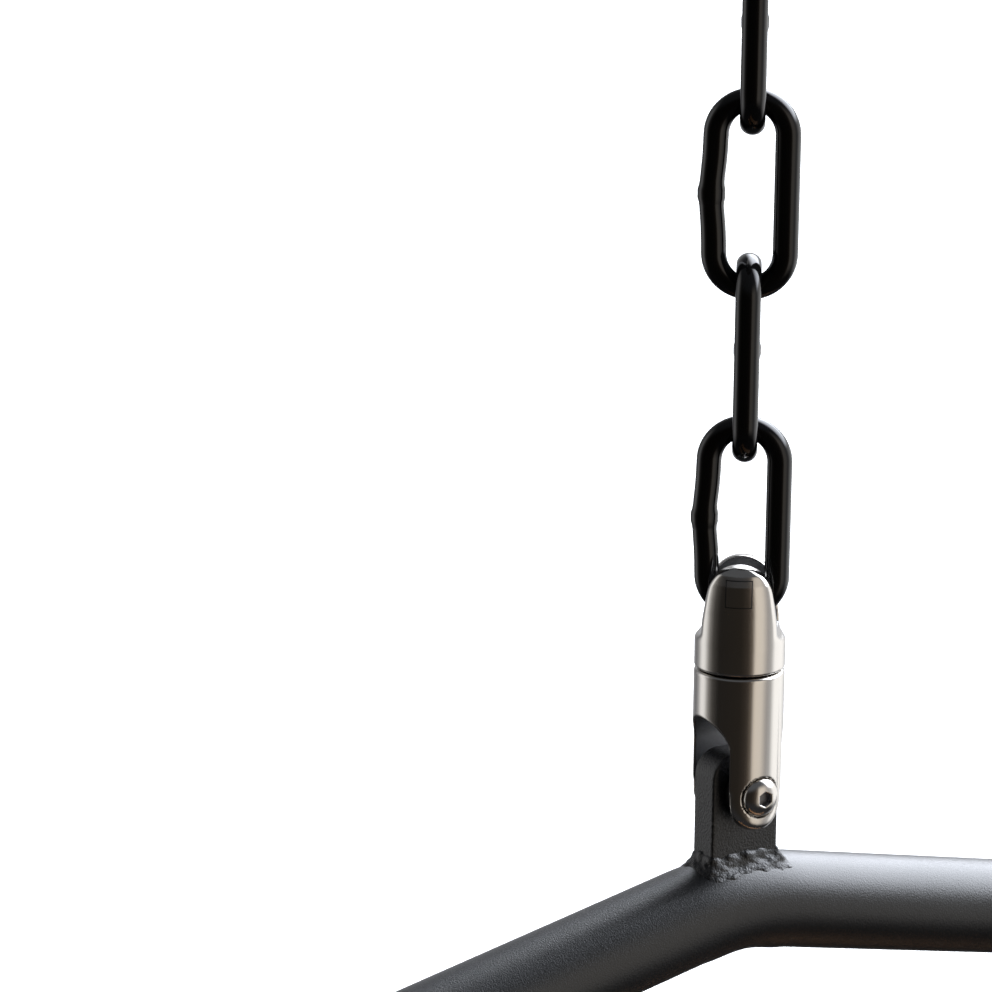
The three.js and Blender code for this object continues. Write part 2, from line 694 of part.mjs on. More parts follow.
place(hangFrame, "lug", lug(), COATING);
place(hangFrame, "lug_weld", lugWeld(), COATING);

// ---------------------------------------------------------------- bench

const bench = new THREE.Group();
swing.add(bench);

// The flat bar under the slats: a straight seat, a bend at the crook and a straight back.
function bearer() {
  const front = crook.clone().addScaledVector(seatForward, SEAT_LINE);
  const top = crook.clone().addScaledVector(backUpward, BACK_LINE);
  const corners = [front, crook, top].map(({ x, y }) => new THREE.Vector3(x, y, 0));
  const line = new BentLine(corners, [CROOK_BEND]);
  const edge = (side) => line.stations.map(({ point, tangent }) => {
    const reach = (side * BEARER_THICKNESS) / 2;
    return new THREE.Vector2(point.x - tangent.y * reach, point.y + tangent.x * reach);
  });
  return slabYZ(new THREE.Shape([...edge(-1), ...edge(1).reverse()]), BEARER_WIDTH);
}

function slat() {
  const section = roundedRectangle(SLAT_WIDTH / 2, SLAT_THICKNESS / 2, SLAT_EDGE);
  const board = new THREE.ExtrudeGeometry(section, {
    depth: 2 * SLAT_HALF_LENGTH,
    bevelEnabled: false,
    curveSegments: 1,
  });
  return board.translate(0, 0, -SLAT_HALF_LENGTH).rotateX(Math.PI / 2).rotateZ(Math.PI / 2);
}

// A slat lies on the sitter's side of its line, at a distance along it.
function placeSlat(name, start, heading, distance, tilt) {
  const lift = BEARER_THICKNESS / 2 + GAP + SLAT_THICKNESS / 2;
  const centre = start.clone().addScaledVector(heading, distance);
  const upSide = new THREE.Vector2(-heading.y, heading.x).multiplyScalar(lift);
  const board = place(bench, name, slat(), TEAK);
  board.position.set(0, centre.x + upSide.x, centre.y + upSide.y);
  board.rotation.x = tilt;
}

for (const [name, x] of [["left", -BEARER_X], ["middle", 0], ["right", BEARER_X]]) {
  place(bench, `bearer_${name}`, bearer(), COATING).position.x = x;
}
const seatFront = crook.clone().addScaledVector(seatForward, SEAT_LINE);
const seatBackward = seatForward.clone().negate();
for (let i = 0; i < SEAT_SLATS; i += 1) {
  const distance = FIRST_SEAT_SLAT + i * SLAT_PITCH;
  placeSlat(`seat_slat_${i + 1}`, seatFront, seatBackward, distance, -rad(SEAT_TILT));
}
for (let i = 0; i < BACK_SLATS; i += 1) {
  const distance = FIRST_BACK_SLAT + i * SLAT_PITCH;
  placeSlat(`back_slat_${i + 1}`, crook, backUpward, distance, rad(90 - BACK_RECLINE));
}

// Saddles carry the bearers on the bottom tube.
function saddle() {
  const [width, depth, height] = SADDLE_SIZE;
  const tubeLevel = level(BOTTOM_TUBE_LEVEL);
  const block = boxBetween([-width / 2, -depth / 2, tubeLevel], [width / 2, depth / 2, tubeLevel + 2 * height]);
  const tube = rodX(TUBE_RADIUS + GAP, -width, width, TUBE_SIDES).translate(0, 0, tubeLevel);
  const underside = BEARER_THICKNESS / 2 + GAP;
  const above = new THREE.BoxGeometry(2 * width, 3 * SEAT_LINE, 4 * height);
  above.translate(0, 0, 2 * height - underside);
  above.rotateX(-rad(SEAT_TILT)).translate(0, crook.x, crook.y);
  return geometryOf(cut(solid(block), solid(tube), solid(above)));
}

for (const [name, x] of [["left", -SADDLE_X], ["middle", 0], ["right", SADDLE_X]]) {
  place(bench, `saddle_${name}`, saddle(), COATING).position.x = x;
}

// ---------------------------------------------------------------- arms

// A flat bar on edge: back to front under the armrest, then down to the front of the seat.
function armRail() {
  const backY = crook.x + ((ARM_LEVEL - crookLevel) / backUpward.y) * backUpward.x;
  const frontY = crook.x - ARM_REACH;
  const footLevel = crookLevel + ARM_REACH * Math.tan(rad(SEAT_TILT));
  const line = new BentLine([
    new THREE.Vector3(backY, level(ARM_LEVEL), 0),
    new THREE.Vector3(frontY, level(ARM_LEVEL), 0),
    new THREE.Vector3(frontY, level(footLevel - BEARER_THICKNESS), 0),
  ], [ARM_RAIL_BEND]);
  const edge = (side) => line.stations.map(({ point, tangent }) => {
    const reach = (side * ARM_RAIL_DEPTH) / 2;
    return new THREE.Vector2(point.x - tangent.y * reach, point.y + tangent.x * reach);
  });
  const rail = slabYZ(new THREE.Shape([...edge(-1), ...edge(1).reverse()]), ARM_RAIL_THICKNESS);
  const hole = rodX(ARM_BOLT_RADIUS + GAP, -20, 20, 16).translate(0, 0, level(ARM_LEVEL));
  return geometryOf(cut(solid(rail), solid(hole)));
}

function armrest() {
  const [width, length, height] = ARMREST_SIZE;
  const board = new THREE.ExtrudeGeometry(roundedRectangle(width / 2, length / 2, 14), {
    depth: height,
    bevelEnabled: false,
    curveSegments: 3,
  });
  const underside = level(ARM_LEVEL) + ARM_RAIL_DEPTH / 2 + GAP;
  return board.translate(0, crook.x - ARMREST_REACH + length / 2, underside);
}

function hexPrism(acrossFlats, near, far) {
  return rodX(acrossFlats / 2 / Math.cos(Math.PI / 6), near, far, 6);
}

for (const [name, side] of sides) {
  const railMiddle = (railInnerX + railOuterX) / 2;
  place(bench, `arm_rail_${name}`, armRail(), COATING).position.x = side * railMiddle;
  place(bench, `armrest_${name}`, armrest(), TEAK).position.x = side * ARMREST_X;

  const tubeOutside = UPRIGHT_X + TUBE_RADIUS + GAP;
  const tubeInside = UPRIGHT_X - TUBE_RADIUS - GAP;
  const nutFace = railInnerX - GAP;
  const boltEnd = nutFace - ARM_NUT_HEIGHT - 2;
  const shank = solid(rodX(ARM_BOLT_RADIUS, boltEnd, tubeOutside + 1, 16));
  const head = solid(hexPrism(ARM_HEX, tubeOutside, tubeOutside + ARM_HEAD_HEIGHT));
  const bore = solid(rodX(ARM_BOLT_RADIUS + GAP, nutFace - 2 * ARM_NUT_HEIGHT, tubeOutside, 16));
  const nut = solid(hexPrism(ARM_HEX, nutFace - ARM_NUT_HEIGHT, nutFace));
  const bush = solid(rodX(ARM_BUSH_RADIUS, railOuterX + GAP, tubeInside, 20));
  for (const [piece, body, finish] of [
    ["arm_bolt", shank.add(head), STAINLESS],
    ["arm_nut", cut(nut, bore), STAINLESS],
    ["arm_bush", cut(bush, bore), COATING],
  ]) {
    const mesh = place(bench, `${piece}_${name}`, geometryOf(body), finish);
    mesh.position.z = level(ARM_LEVEL);
    mesh.rotation.z = side < 0 ? Math.PI : 0;
  }
}

export default swing;
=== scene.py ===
"""Finished surfaces of a porch swing that hangs from one point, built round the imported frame.

Lengths are in metres. +Z is up, +X runs along the bench and the sitter faces -Y. Every place comes
from the frame: its joints, its boxes and the few sizes that the pieces share.
"""

import json
import math

import bpy
import numpy as np
from bpy.props import FloatProperty, FloatVectorProperty, IntProperty, PointerProperty
from mathutils import Matrix, Vector


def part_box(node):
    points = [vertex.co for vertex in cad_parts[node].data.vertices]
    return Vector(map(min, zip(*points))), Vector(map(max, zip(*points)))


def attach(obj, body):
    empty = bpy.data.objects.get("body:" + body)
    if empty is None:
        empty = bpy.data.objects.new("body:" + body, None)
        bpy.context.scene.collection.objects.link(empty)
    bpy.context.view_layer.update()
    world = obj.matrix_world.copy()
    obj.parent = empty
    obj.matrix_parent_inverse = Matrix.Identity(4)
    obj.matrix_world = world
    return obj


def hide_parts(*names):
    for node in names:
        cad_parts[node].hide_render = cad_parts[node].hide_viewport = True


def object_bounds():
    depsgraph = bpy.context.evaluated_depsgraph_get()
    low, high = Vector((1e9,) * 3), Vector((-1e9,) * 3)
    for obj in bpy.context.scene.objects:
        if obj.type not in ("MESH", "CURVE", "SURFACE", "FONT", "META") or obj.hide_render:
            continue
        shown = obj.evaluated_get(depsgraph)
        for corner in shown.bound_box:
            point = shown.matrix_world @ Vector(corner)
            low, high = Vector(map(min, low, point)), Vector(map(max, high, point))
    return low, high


bl_info = {
    "name": "Porch Swing Finishes",
    "version": (1, 0, 0),
    "blender": (4, 5, 0),
    "location": "View3D > Sidebar > Swing",
    "description": "Builds the finished chain, swivel, hoop and bench of a porch swing",
    "category": "Add Mesh",
}

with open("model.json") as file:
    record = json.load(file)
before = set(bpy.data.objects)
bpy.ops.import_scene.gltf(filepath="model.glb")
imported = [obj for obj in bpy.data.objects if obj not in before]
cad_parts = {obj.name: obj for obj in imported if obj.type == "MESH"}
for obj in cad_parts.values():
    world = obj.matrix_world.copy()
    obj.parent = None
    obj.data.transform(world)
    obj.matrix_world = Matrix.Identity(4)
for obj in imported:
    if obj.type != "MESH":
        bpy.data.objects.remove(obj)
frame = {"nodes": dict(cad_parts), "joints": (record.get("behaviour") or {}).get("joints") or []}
CAD_LOW, CAD_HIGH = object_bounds()
JOINTS = {joint["name"]: joint for joint in frame["joints"]}
MM = 0.001

# ---------------------------------------------------------------------- places in the frame

CLEVIS = Vector(JOINTS["clevis_tilt"]["pos_m"])
YOKE_PIN = Vector(JOINTS["yoke_tilt"]["pos_m"])
SEAM_Z = JOINTS["swivel_turn"]["pos_m"][2]
YOKE_AXIS = Vector(JOINTS["yoke_tilt"]["axis"])
YOKE_TURN = math.atan2(-YOKE_AXIS.x, YOKE_AXIS.y)
LINK_NAMES = sorted(name for name in frame["nodes"] if name.startswith("chain_link"))

# Sizes that several pieces share
WIRE = 4 * MM
BEARING_HALF = 3.6 * MM
BOW = 11.2 * MM
LINK_SPAN = 59.5 * MM  # between the centre lines of a link's bows
SWIVEL_RADIUS = 14.6 * MM
YOKE_SLOT = 5 * MM
FORK_SLOT = 10 * MM
FORK_ARCH = 15 * MM
FORK_TOE = 11.5 * MM
TUBE_RADIUS = 15.9 * MM
APEX_DROP = 37.9 * MM
ARM_SLOPE = math.radians(12.1)
APEX_BEND = 95 * MM
SHOULDER_BEND = 130 * MM
FOOT_BEND = 60 * MM
UPRIGHT_X = 620 * MM
LUG_HALF = (12.7 * MM, 5.5 * MM)
LUG_TOP = 12.7 * MM
LUG_CORNER = 8 * MM
SEAT_TILT = math.radians(4)
BACK_RECLINE = math.radians(15)
CROOK_Y = 115.2 * MM
SEAT_BAR_DROP = 1276 * MM
CROOK_BEND = 50 * MM
SEAT_LINE = 455 * MM
BACK_LINE = 470 * MM
BAR_THICKNESS = 8 * MM
SLAT_SIZE = (1146 * MM, 70 * MM, 20 * MM)
SLAT_COUNT = 5
CEILING_PLATE = (55 * MM, 6 * MM)  # radius and thickness
EYE_BEAD = [(0, -4.2), (5.2, -4.2), (5.7, -2.6), (7.2, -1), (8.6, -0.1), (8.4, 0.2), (0, 0.2)]
GAP = 0.3 * MM


# ---------------------------------------------------------------------- meshes

def piece(name, verts, faces, finish, smooth=True):
    """A new object from vertices and faces, with its place in its mesh."""
    mesh = bpy.data.meshes.new(name)
    mesh.from_pydata([tuple(v) for v in verts], [], [tuple(f) for f in faces])
    mesh.validate()
    if smooth:
        mesh.shade_smooth()
        mesh.set_sharp_from_angle(angle=math.radians(35))
    made = bpy.data.objects.new(name, mesh)
    bpy.context.scene.collection.objects.link(made)
    mesh.materials.append(finish)
    return made


def merged(name, parts, finish):
    """One object from several (verts, faces) parts."""
    verts, faces = [], []
    for part_verts, part_faces in parts:
        start = len(verts)
        verts.extend(part_verts)
        faces.extend([tuple(start + i for i in face) for face in part_faces])
    return piece(name, verts, faces, finish)


def moved(part, matrix):
    """A (verts, faces) part with its vertices moved by a matrix."""
    return [matrix @ Vector(v) for v in part[0]], part[1]


def ring_faces(rings, sides, closed):
    """Quads between rings of vertices, and caps unless the rings close on themselves."""
    faces = []
    for i in range(rings if closed else rings - 1):
        a, b = i * sides, (i + 1) % rings * sides
        for k in range(sides):
            n = (k + 1) % sides
            faces.append((a + k, a + n, b + n, b + k))
    if not closed:
        faces.append(tuple(reversed(range(sides))))
        faces.append(tuple(range((rings - 1) * sides, rings * sides)))
    return faces


def sweep(stations, closed=False):
    """A bar through stations of (centre, side, up, outline), outline points as (side, up)."""
    verts = []
    for centre, side, up, outline in stations:
        verts.extend(centre + side * u + up * v for u, v in outline)
    return verts, ring_faces(len(stations), len(stations[0][3]), closed)


def circle(radius, sides):
    """A round outline."""
    turns = (2 * math.pi * k / sides for k in range(sides))
    return [(radius * math.cos(t), radius * math.sin(t)) for t in turns]


def rounded_rectangle(half_u, half_v, corner, steps=4):
    """A rectangle with round corners, as outline points."""
    points = []
    for quarter, (su, sv) in enumerate([(1, 1), (-1, 1), (-1, -1), (1, -1)]):
        for k in range(steps + 1):
            turn = math.pi / 2 * (quarter + k / steps)
            points.append((
                su * (half_u - corner) + corner * math.cos(turn),
                sv * (half_v - corner) + corner * math.sin(turn),
            ))
    return points


def turned(profile, sides=64):
    """A piece turned about Z from (radius, height) points that start and end on the axis."""
    inner = profile[1:-1]
    verts = [Vector((0, 0, profile[0][1]))]
    for radius, height in inner:
        verts.extend(Vector((x, y, height)) for x, y in circle(radius, sides))
    verts.append(Vector((0, 0, profile[-1][1])))
    faces = []
    for k in range(sides):
        n = (k + 1) % sides
        faces.append((0, 1 + n, 1 + k))
        for i in range(len(inner) - 1):
            a, b = 1 + i * sides, 1 + (i + 1) * sides
            faces.append((a + k, a + n, b + n, b + k))
        last = 1 + (len(inner) - 1) * sides
        faces.append((len(verts) - 1, last + k, last + n))
    return verts, faces


def bent_line(corners, radii, bend_step=math.radians(3), straight_step=None):
    """Stations of (point, heading, distance) through corners rounded by arcs."""
    marks = [(corners[0], (corners[1] - corners[0]).normalized())]
    for i in range(1, len(corners) - 1):
        before = (corners[i] - corners[i - 1]).normalized()
        after = (corners[i + 1] - corners[i]).normalized()
        angle = before.angle(after)
        axis = before.cross(after).normalized()
        inward = axis.cross(before)
        radius = radii[i - 1]
        centre = corners[i] - before * radius * math.tan(angle / 2) + inward * radius
        steps = max(2, math.ceil(angle / bend_step))
        for k in range(steps + 1):
            turn = Matrix.Rotation(angle * k / steps, 3, axis)
            marks.append((centre - turn @ inward * radius, turn @ before))
    marks.append((corners[-1], (corners[-1] - corners[-2]).normalized()))
    dense = [marks[0]]
    for (a, heading), (b, next_heading) in zip(marks, marks[1:]):
        length = (b - a).length
        pieces = max(1, math.ceil(length / straight_step)) if straight_step else 1
        for k in range(1, pieces + 1):
            dense.append((a.lerp(b, k / pieces), next_heading if k == pieces else heading))
    return dense


# ---------------------------------------------------------------------- solids from distance

def smooth_join(a, b, blend):
    """The union of two distance fields, with a fillet about half as wide as blend."""
    near = np.maximum(blend - np.abs(a - b), 0) / blend
    return np.minimum(a, b) - near * near * blend / 4


def smooth_common(a, b, blend):
    """What two distance fields share, with its edge rounded."""
    return -smooth_join(-a, -b, blend)


def smooth_cut(a, b, blend):
    """The first field less the second, with the new edge rounded."""
    return -smooth_join(-a, b, blend)


def outline_distance(u, v, corners):
    """Signed distance in a plane from points to a closed outline, negative inside."""
    nearest = np.full(u.shape, np.inf)
    inside = np.zeros(u.shape, bool)
    for (au, av), (bu, bv) in zip(corners, corners[1:] + corners[:1]):
        eu, ev = bu - au, bv - av
        wu, wv = u - au, v - av
        along = np.clip((wu * eu + wv * ev) / (eu * eu + ev * ev), 0, 1)
        nearest = np.minimum(nearest, (wu - along * eu) ** 2 + (wv - along * ev) ** 2)
        if ev:
            inside ^= ((av > v) != (bv > v)) & (u < eu * (v - av) / ev + au)
    return np.where(inside, -1, 1) * np.sqrt(nearest)


def arc(centre, radius, start, end, steps=12):
    """Points of an arc in a plane, from one angle in degrees to another."""
    turns = np.radians(np.linspace(start, end, steps + 1))
    return [(centre[0] + radius * math.cos(t), centre[1] + radius * math.sin(t)) for t in turns]


def box_distance(points, low, high):
    """Signed distance to an upright box."""
    centre = (np.array(low) + np.array(high)) / 2
    half = (np.array(high) - np.array(low)) / 2
    past = np.abs(points - centre) - half
    outside = np.linalg.norm(np.maximum(past, 0), axis=-1)
    return outside + np.minimum(past.max(axis=-1), 0)


def rod_distance(points, axis, radius, low, high):
    """Signed distance to a round bar along an axis, between two places on it."""
    across = np.delete(points, axis, axis=-1)
    round_part = np.linalg.norm(across, axis=-1) - radius
    ends = np.abs(points[..., axis] - (low + high) / 2) - (high - low) / 2
    outside = np.hypot(np.maximum(round_part, 0), np.maximum(ends, 0))
    return outside + np.minimum(np.maximum(round_part, ends), 0)


def contour(field, low, high, cell):
    """The surface where a distance field is zero, as vertices and quads that face outwards."""
    axes = [np.arange(a - 1.5 * cell, b + 2.5 * cell, cell) for a, b in zip(low, high)]
    size = tuple(len(axis) for axis in axes)
    origin = np.array([axis[0] for axis in axes])
    grid = np.stack(np.meshgrid(*axes, indexing="ij"), axis=-1)
    value = field(grid.reshape(-1, 3)).reshape(size)
    solid = value < 0
    offsets = [(i, j, k) for i in (0, 1) for j in (0, 1) for k in (0, 1)]
    span = [slice(0, n - 1) for n in size]
    filled = sum(
        solid[tuple(slice(s.start + o, s.stop + o) for s, o in zip(span, offset))].astype(np.int8)
        for offset in offsets
    )
    mixed = (filled > 0) & (filled < 8)
    number = np.full(mixed.shape, -1)
    number[mixed] = np.arange(mixed.sum())
    cells = np.argwhere(mixed)
    total = np.zeros((len(cells), 3))
    hits = np.zeros(len(cells))
    for start in offsets:
        for axis in range(3):
            if start[axis]:
                continue
            end = list(start)
            end[axis] = 1
            a = value[tuple((cells + start).T)]
            b = value[tuple((cells + end).T)]
            crossed = (a < 0) != (b < 0)
            share = np.where(crossed, a / np.where(crossed, a - b, 1), 0)
            point = np.array(start, float) + share[:, None] * np.eye(3)[axis]
            total += np.where(crossed[:, None], point, 0)
            hits += crossed
    verts = origin + (cells + total / hits[:, None]) * cell
    quads = []
    for axis in range(3):
        u, v = np.eye(3, dtype=int)[(axis + 1) % 3], np.eye(3, dtype=int)[(axis + 2) % 3]
        lower = np.take(solid, range(size[axis] - 1), axis=axis)
        upper = np.take(solid, range(1, size[axis]), axis=axis)
        for leaving, order in ((lower & ~upper, 1), (~lower & upper, -1)):
            edge = np.argwhere(leaving)
            around = [edge - u - v, edge - v, edge, edge - u][::order]
            quads.append(np.stack([number[tuple(c.T)] for c in around], axis=-1))
    return settled(field, verts, cell), np.concatenate(quads)


def settled(field, verts, cell, rounds=3):
    """Vertices moved on to the field's zero surface."""
    reach = cell / 4
    for _ in range(rounds):
        slope = np.stack([
            (field(verts + step) - field(verts - step)) / (2 * reach) for step in np.eye(3) * reach
        ], axis=-1)
        steepness = np.maximum((slope * slope).sum(axis=-1), 0.25)
        shift = -(field(verts) / steepness)[:, None] * slope
        verts = verts + np.clip(shift, -cell / 2, cell / 2)
    return verts


def placed(surface, matrix):
    """A contour's vertices moved by a matrix, with its faces as plain lists."""
    verts, quads = surface
    turn, shift = np.array(matrix.to_3x3()), np.array(matrix.translation)
    return (verts @ turn.T + shift).tolist(), quads.tolist()


def lumps(points, size, seed):
    """Smooth, repeatable unevenness between -1 and 1, about one lump per size."""
    rng = np.random.default_rng(seed)
    total = np.zeros(len(points))
    for _ in range(10):
        direction = rng.normal(size=3)
        direction /= np.linalg.norm(direction)
        pitch = rng.uniform(0.7, 1.6) * math.pi / size
        total += np.sin(points @ direction * pitch + rng.uniform(0, 7))
    return total / 4


# ---------------------------------------------------------------------- shader arithmetic

class Term:
    """A socket that takes part in Python arithmetic by adding Math nodes to its shader."""

    def __init__(self, shader, socket):
        self.shader = shader
        self.socket = socket

    def _with(self, operation, first, second):
        return self.shader.node("ShaderNodeMath", {"operation": operation}, {0: first, 1: second})

    def __add__(self, other):
        return self._with("ADD", self, other)

    def __radd__(self, other):
        return self._with("ADD", other, self)

    def __sub__(self, other):
        return self._with("SUBTRACT", self, other)

    def __rsub__(self, other):
        return self._with("SUBTRACT", other, self)

    def __mul__(self, other):
        return self._with("MULTIPLY", self, other)

    def __rmul__(self, other):
        return self._with("MULTIPLY", other, self)


class Shader:
    """A procedural material: one Principled shader and the nodes that feed it."""

    def __init__(self, name, **constants):
        self.material = bpy.data.materials.new(name)
        self.material.use_nodes = True
        self.tree = self.material.node_tree
        self.tree.nodes.clear()
        output = self.tree.nodes.new("ShaderNodeOutputMaterial")
        self.surface = self.tree.nodes.new("ShaderNodeBsdfPrincipled")
        self.tree.links.new(self.surface.outputs[0], output.inputs["Surface"])
        for socket, value in constants.items():
            self.surface.inputs[socket.replace("_", " ")].default_value = value

    @classmethod
    def on(cls, tree):
        """The same node helper on a tree that has no Principled shader."""
        shader = cls.__new__(cls)
        shader.tree = tree
        return shader

    def feed(self, socket, value):
        """A term is linked to a socket, and a plain value is set on it."""
        if isinstance(value, Term):
            self.tree.links.new(value.socket, socket)
        else:
            socket.default_value = value

    def node(self, kind, settings, inputs, output=0):
        """Any node: its settings first, then its inputs, and one of its outputs back."""
        made = self.tree.nodes.new(kind)
        for key, value in settings.items():
            if key == "stops":
                for stop, (place, colour) in zip(self.stretched(made, len(value)), value):
                    stop.position = place
                    stop.color = (*colour, 1)
            else:
                setattr(made, key, value)
        for key, value in inputs.items():
            self.feed(made.inputs[key], value)
        return Term(self, made.outputs[output])

    @staticmethod
    def stretched(ramp, count):
        """A colour ramp's stops, as many as are wanted."""
        stops = ramp.color_ramp.elements
        while len(stops) < count:
            stops.new(1)
        return stops

    def position(self, scale=(1, 1, 1)):
        """The place on the piece, stretched by a scale for each axis."""
        place = self.node("ShaderNodeTexCoord", {}, {}, "Object")
        return self.node("ShaderNodeMapping", {}, {"Vector": place, "Scale": scale})

    def noise(self, place, size, detail=3.0, roughness=0.5):
        """Noise between 0 and 1 with lumps of about the given size."""
        inputs = {"Vector": place, "Scale": 1 / size, "Detail": detail, "Roughness": roughness}
        return self.node("ShaderNodeTexNoise", {}, inputs, 0)

    def mix(self, factor, first, second):
        """A colour between two colours."""
        return self.node(
            "ShaderNodeMix", {"data_type": "RGBA"}, {0: factor, 6: (*first, 1), 7: (*second, 1)}, 2,
        )

    def ramp(self, factor, stops):
        """A colour from a ramp of (place, colour) stops."""
        return self.node("ShaderNodeValToRGB", {"stops": stops}, {0: factor})

    def bump(self, height, strength, distance):
        """A bumped normal, fed to the surface."""
        inputs = {"Height": height, "Strength": strength, "Distance": distance}
        self.feed(self.surface.inputs["Normal"], self.node("ShaderNodeBump", {}, inputs))

    def set(self, **sockets):
        """Linked sockets of the surface."""
        for socket, value in sockets.items():
            self.feed(self.surface.inputs[socket.replace("_", " ")], value)


# ---------------------------------------------------------------------- finishes

def powder_coat(colour, grain=0.5 * MM, depth=0.18 * MM, name="powder_coat"):
    """Fine-textured satin black powder coat, a little worn and dusty in its roughness."""
    shader = Shader(name, Metallic=0.0, IOR=1.55)
    place = shader.position()
    fine = shader.noise(place, grain, 2.0, 0.6)
    cloud = shader.noise(place, 25 * MM, 3.0, 0.5)
    pale = tuple(min(1, 1.9 * c + 0.002) for c in colour)
    shader.set(
        Base_Color=shader.mix(fine * 0.7 + cloud * 0.3, colour, pale),
        Roughness=0.25 + fine * 0.10 + cloud * 0.05,
    )
    shader.bump(fine, 0.6, depth)
    return shader.material


def chain_coat(colour):
    """Thick gloss black dip over slightly uneven wire."""
    shader = Shader("chain_gloss_coat", Metallic=0.0, IOR=1.42)
    place = shader.position()
    swell = shader.noise(place, 5 * MM, 2.0, 0.5)
    speck = shader.noise(place, 0.8 * MM, 2.0, 0.5)
    scuff = shader.noise(place, 9 * MM, 4.0, 0.65)
    shader.set(
        Base_Color=shader.mix(scuff, colour, tuple(1.8 * c for c in colour)),
        Roughness=0.05 + scuff * 0.09,
    )
    shader.bump(swell * 0.85 + speck * 0.15, 0.16, 0.2 * MM)
    return shader.material


def satin_steel(colour):
    """Turned and polished stainless steel: faint streaks along the swivel and a bright sheen."""
    shader = Shader("satin_stainless", Metallic=1.0)
    streak = shader.noise(shader.position((1, 1, 0.03)), 0.35 * MM, 3.0, 0.6)
    cloud = shader.noise(shader.position(), 7 * MM, 3.0, 0.5)
    dull = tuple(0.9 * c for c in colour)
    shader.set(
        Base_Color=shader.mix(streak * 0.6 + cloud * 0.4, dull, colour),
        Roughness=0.11 + streak * 0.05 + cloud * 0.05,
    )
    shader.bump(streak, 0.06, 0.012 * MM)
    return shader.material


def blasted_steel():
    """Bead-blasted stainless inside the slots."""
    shader = Shader("blasted_stainless", Metallic=1.0)
    grit = shader.noise(shader.position(), 0.3 * MM, 2.0, 0.6)
    shader.set(
        Base_Color=shader.mix(grit, (0.20, 0.20, 0.21), (0.42, 0.42, 0.43)),
        Roughness=0.45 + grit * 0.2,
    )
    shader.bump(grit, 0.5, 0.08 * MM)
    return shader.material


def acetal():
    """Black plastic of the spacers and the thrust washer; the same dark finish is also painted
    shade in the gap round the yoke's pin head.
    """
    shader = Shader("black_plastic_and_gap_shade", Metallic=0.0)
    grain = shader.noise(shader.position(), 0.7 * MM, 2.0, 0.5)
    shader.set(
        Base_Color=shader.mix(grain, (0.010, 0.010, 0.011), (0.022, 0.022, 0.024)),
        Roughness=0.42 + grain * 0.15,
    )
    shader.bump(grain, 0.2, 0.04 * MM)
    return shader.material


def teak(along, name):
    """Oiled teak with its grain along one axis; the tone attribute sets each board apart."""
    stretch = [1.0, 1.0, 1.0]
    stretch[along] = 0.045
    shader = Shader(name, Metallic=0.0, IOR=1.45)
    tone = shader.node("ShaderNodeAttribute", {"attribute_name": "tone"}, {}, "Fac")
    shift = shader.node("ShaderNodeCombineXYZ", {}, {0: tone * 0.9, 1: tone * 1.7, 2: tone * 2.3})
    stretched = shader.position(tuple(stretch))
    place = shader.node("ShaderNodeVectorMath", {"operation": "ADD"}, {0: stretched, 1: shift})
    warp = shader.noise(place, 30 * MM, 2.0, 0.5)
    lines = shader.node(
        "ShaderNodeTexNoise", {"noise_dimensions": "4D"},
        {
            "Vector": place, "W": warp * 1.5,
            "Scale": 1 / (4.5 * MM), "Detail": 4.0, "Roughness": 0.6,
        },
    )
    pores = shader.noise(place, 0.9 * MM, 2.0, 0.7)
    colour = shader.ramp(lines * 0.75 + tone * 0.12 + pores * 0.13, [
        (0.28, (0.125, 0.058, 0.024)),
        (0.45, (0.235, 0.118, 0.050)),
        (0.62, (0.340, 0.185, 0.085)),
        (0.80, (0.430, 0.255, 0.125)),
    ])
    shader.set(Base_Color=colour, Roughness=0.62 - lines * 0.16 + pores * 0.08)
    shader.bump(pores * 0.6 + lines * 0.4, 0.35, 0.25 * MM)
    return shader.material


FINISHES = {}


def finish(name):
    """A finish by name, made when it is first asked for."""
    if name not in FINISHES:
        sizes = bpy.context.scene.swing_finish
        coat_colour = tuple(sizes.coat_colour)
        makers = {
            "coat": lambda: powder_coat(coat_colour),
            "weld": lambda: powder_coat(coat_colour, 0.7 * MM, 0.5 * MM, "coated_weld"),
            "chain": lambda: chain_coat(tuple(sizes.chain_colour)),
            "steel": lambda: satin_steel(tuple(sizes.steel_colour)),
            "blasted": blasted_steel,
            "acetal": acetal,
            "teak": lambda: teak(0, "oiled_teak"),
            "teak_arm": lambda: teak(1, "oiled_teak_arm"),
        }
        FINISHES[name] = makers[name]()
    return FINISHES[name]


def stand_for(made, body, finish_name, *nodes):
    """A finished piece rides on its body and stands for CAD nodes."""
    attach(made, body)
    if nodes:
        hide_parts(*nodes)
    return made


# ---------------------------------------------------------------------- settings

class SwingFinish(bpy.types.PropertyGroup):
    """Colours of the swing's finishes."""

    coat_colour: FloatVectorProperty(
        name="Powder coat", description="Colour of the tube, lug and bars", subtype="COLOR",
        default=(0.0085, 0.009, 0.0098), min=0, max=1,
    )
    chain_colour: FloatVectorProperty(
        name="Chain", description="Colour of the chain's gloss coat", subtype="COLOR",
        default=(0.0035, 0.0035, 0.0037), min=0, max=1,
    )
    steel_colour: FloatVectorProperty(
        name="Stainless", description="Colour of the swivel and the fasteners", subtype="COLOR",
        default=(0.66, 0.635, 0.60), min=0, max=1,
    )


